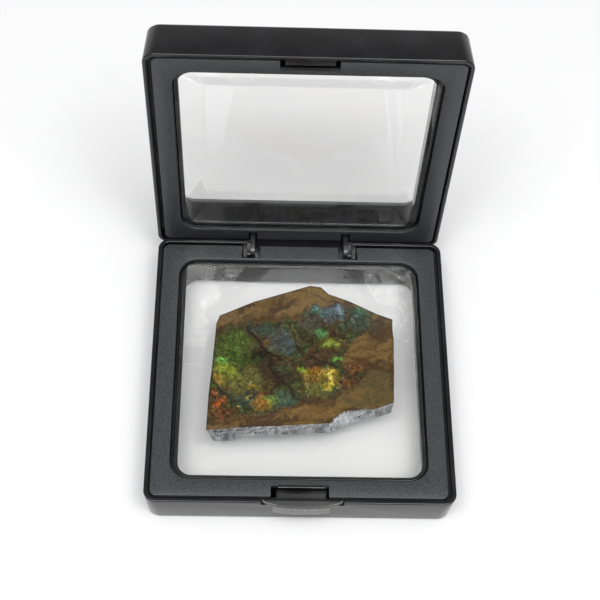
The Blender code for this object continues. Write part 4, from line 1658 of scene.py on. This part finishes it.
STAINS = (
    Stain(Shade.GREEN, -16.0, 3.5, 4.2, 3.4, 20, 0.8),
    Stain(Shade.GREEN, -13.5, -0.5, 4.0, 2.4, 0, 0.6),
    Stain(Shade.BRIGHT_GREEN, -18.3, -1.3, 1.8, 1.2, -30, 0.95),
    Stain(Shade.LIME, -17.3, -4.0, 2.6, 1.9, -40, 0.85),
    Stain(Shade.YELLOW, -18.6, -6.4, 1.2, 0.8, -50, 0.9),
    Stain(Shade.GREEN, -20.3, -7.5, 0.9, 1.1, 0, 0.8),
    Stain(Shade.OLIVE_GOLD, -12.5, -6.0, 4.4, 2.6, 10, 0.8),
    Stain(Shade.YELLOW, -10.5, -7.5, 0.8, 0.6, 0, 0.8),
    Stain(Shade.BRICK, -18.5, -14.3, 3.2, 1.8, 0, 0.6),
    Stain(Shade.ORANGE, -19.8, -11.0, 1.8, 1.4, -20, 0.9),
    Stain(Shade.TEAL, -12.0, -10.8, 2.8, 1.9),
    # The two small lemon spots below are painted glints.
    Stain(Shade.LEMON, -12.0, -9.6, 0.4, 0.3),
    Stain(Shade.LEMON, -14.0, -12.0, 0.4, 0.3),
    Stain(Shade.AMBER, -9.0, -11.3, 1.8, 1.7, 0, 0.8),
    Stain(Shade.LIME, -7.2, -10.5, 1.0, 1.4, 0, 0.6),
    Stain(Shade.JADE, -4.3, -10.5, 2.9, 1.8, 0, 0.6),
    Stain(Shade.PITCH, -9.5, 0.2, 2.7, 2.2, 0, 0.8),
    Stain(Shade.BARK, -7.0, -4.0, 3.0, 3.0, 0, 0.65),
    Stain(Shade.BARK, -4.5, -5.0, 2.8, 2.6, 0, 0.8),
    Stain(Shade.TAN, -7.0, 3.6, 2.4, 1.1, -45, 0.9),
    Stain(Shade.SLATE, -3.5, 4.0, 3.0, 3.4, 0, 0.8),
    Stain(Shade.STEEL, -2.5, 3.0, 1.0, 1.6, 0, 0.6),
    Stain(Shade.TEAL, -8.5, 8.0, 4.6, 1.7, 0, 0.75),
    Stain(Shade.OLIVE_GOLD, -1.5, 7.0, 0.9, 3.0, 10, 0.6),
    Stain(Shade.PLUM, 2.5, 10.0, 2.2, 2.0, 0, 0.6),
    Stain(Shade.STEEL, 7.0, 13.3, 3.8, 2.0, 10, 0.9),
    Stain(Shade.SKY, 8.8, 14.0, 1.7, 1.0, 0, 0.9),
    Stain(Shade.JADE, 4.6, 13.2, 1.2, 0.9, 0, 0.8),
    Stain(Shade.PLUM, 7.2, 11.0, 1.7, 1.0, 0, 0.7),
    Stain(Shade.LEAF, 5.2, 6.6, 1.9, 1.2, -15, 0.85),
    Stain(Shade.LIME, 7.5, 4.5, 2.0, 1.4, 0, 0.7),
    Stain(Shade.TEAL, 12.8, 10.5, 3.8, 2.9, 0, 0.8),
    Stain(Shade.JADE, 14.8, 13.3, 1.8, 1.0, 0, 0.8),
    Stain(Shade.MOSS, 11.8, 8.0, 2.6, 2.0, 0, 0.7),
    Stain(Shade.BRIGHT_GREEN, 9.0, -0.5, 1.6, 0.9, 15, 0.95),
    Stain(Shade.AMBER, 2.2, -3.6, 1.7, 1.7, 0, 0.9),
    Stain(Shade.ORANGE, 2.7, -3.1, 0.9, 1.1, 0, 0.6),
    Stain(Shade.OLIVE_GOLD, 3.5, -7.0, 3.8, 1.9, 0, 0.7),
    Stain(Shade.YELLOW, 5.8, -4.8, 2.7, 1.5, 0, 0.85),
    Stain(Shade.LEMON, 6.5, -4.0, 0.8, 0.5, 0, 1.0),
    Stain(Shade.LEMON, 6.0, -6.0, 0.8, 0.45, 0, 1.0),
    Stain(Shade.LIME, 0.6, -2.4, 1.3, 0.8, 0, 0.85),
    Stain(Shade.BRICK, 13.3, -2.2, 2.3, 1.5, 0, 0.8),
    Stain(Shade.BRICK, 10.3, -6.5, 1.9, 1.0, 20, 0.8),
    Stain(Shade.BARK, 17.5, -0.5, 3.2, 0.8, 10, 0.5),
    Stain(Shade.DRAB, 10.5, -10.7, 1.9, 1.2, 0, 0.8),
    Stain(Shade.OCHRE, 2.0, -13.2, 5.2, 1.7, 8, 0.6),
    Stain(Shade.OCHRE, 13.0, -9.0, 3.2, 1.2, 25, 0.5),
)
VEINS = (
    Vein(Shade.PITCH, 0.3, ((-20.5, -4.0), (-19.0, -8.0), (-16.5, -10.5), (-15.5, -12.5))),
    Vein(Shade.PITCH, 0.4, ((-12.9, 8.7), (-10.3, 4.8), (-7.5, 1.7), (-4.3, -0.5))),
    Vein(
        Shade.PITCH,
        0.35,
        ((-8.1, 1.7), (-6.4, -2.5), (-3.8, -5.4), (-2.2, -7.8), (-1.6, -9.8)),
        0.7,
    ),
    Vein(Shade.BARK, 0.3, ((-2.5, 10.5), (-1.9, 7.4), (-0.6, 3.7), (1.5, 1.0))),
    Vein(Shade.PITCH, 0.3, ((1.5, 1.0), (4.7, -0.5), (7.3, -2.2), (8.8, -2.7))),
    Vein(
        Shade.RUST,
        0.45,
        ((11.4, 12.7), (8.3, 9.8), (5.8, 5.1), (1.5, 0.8), (-1.1, -1.8), (-1.9, -4.2)),
    ),
    Vein(Shade.PITCH, 0.15, ((11.9, 12.4), (8.8, 9.5), (6.3, 4.8), (2.0, 0.5), (-0.6, -2.0)), 0.7),
    Vein(
        Shade.RUST,
        0.4,
        ((-19.0, 8.0), (-16.5, 9.5), (-13.5, 10.5), (-8.5, 11.0), (-4.5, 11.5), (-0.5, 12.0)),
    ),
    Vein(
        Shade.RUST,
        0.4,
        ((-17.1, -16.7), (-6.3, -14.5), (-1.7, -11.8), (3.6, -10.9), (8.3, -8.8), (9.9, -6.4)),
    ),
    Vein(Shade.RUST, 0.3, ((4.0, 1.0), (7.9, 0.5), (12.8, 2.4), (16.5, 3.3), (21.6, 3.4)), 0.75),
    Vein(Shade.RUST, 0.3, ((10.5, 0.5), (15.5, 0.5), (18.0, 1.5)), 0.7),
    Vein(Shade.RUST, 0.35, ((21.4, 2.3), (21.1, -5.0)), 0.9),
    Vein(Shade.BARK, 0.25, ((-3.0, 19.0), (1.0, 18.5), (5.5, 16.5), (9.0, 16.5)), 0.6),
    Vein(Shade.BARK, 0.25, ((13.0, 13.5), (17.0, 11.0), (20.5, 10.0)), 0.6),
)
CHIPS = (
    Chip(10.4, -15.6, 12.9, 3.4, 2.1, 4.2, 24.0),
    Chip(13.6, -13.9, 13.0, 2.4, 1.3, 2.6, 12.0),
    Chip(7.4, -16.9, 12.7, 1.6, 0.9, 3.0, 20.0),
)
PIT_SHADES = (
    PitShade(-3.2, 11.7, 1.5, 0.45),
    PitShade(7.0, 11.2, 0.9, 0.9),
    PitShade(15.0, 11.2, 0.7, 0.6),
    PitShade(-19.5, 11.6, 0.5, 0.5),
    PitShade(-14.0, 11.7, 0.6, 0.35),
)


def main() -> None:
    """Loads the frame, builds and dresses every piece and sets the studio."""
    logging.basicConfig(level=logging.INFO, format="%(message)s")
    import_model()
    layers = Layers()
    gloss, matte = MouldedGloss().material(), SparkErodedMatte().material()
    clear, stone = StretchedClear().material(), PolishedAmmolite().material()
    base, lid = CaseBase(layers), CaseLid(layers)
    base.shell(gloss)
    base.frame(matte)
    Film(layers, Half.BASE, base.height, base.film_depth, SLAB_OUTLINE, BASE_PUCKERS).build(clear)
    # A lighter grey copy of the matte finish, put on the latch faces that face the front and on the
    # lip's ends.
    lighter_tone = SparkErodedMatte("light_grey_abs", colour="#605e5b", light_colour="#8a8783", roughness=0.45)
    Latch().build(gloss, lighter_tone.material())
    Slab(SLAB_OUTLINE, SHELL_OUTLINE, FACET_OUTLINE, STAINS, VEINS, CHIPS, PIT_SHADES).build(stone)
    lid.shell(gloss)
    lid.frame(matte)
    Film(layers, Half.LID, lid.height, lid.film_depth, LID_LEVEL, LID_PUCKERS).build(clear)
    studio = Studio()
    studio.floor()
    studio.light()
    studio.camera()


if __name__ == "__main__":
    main()
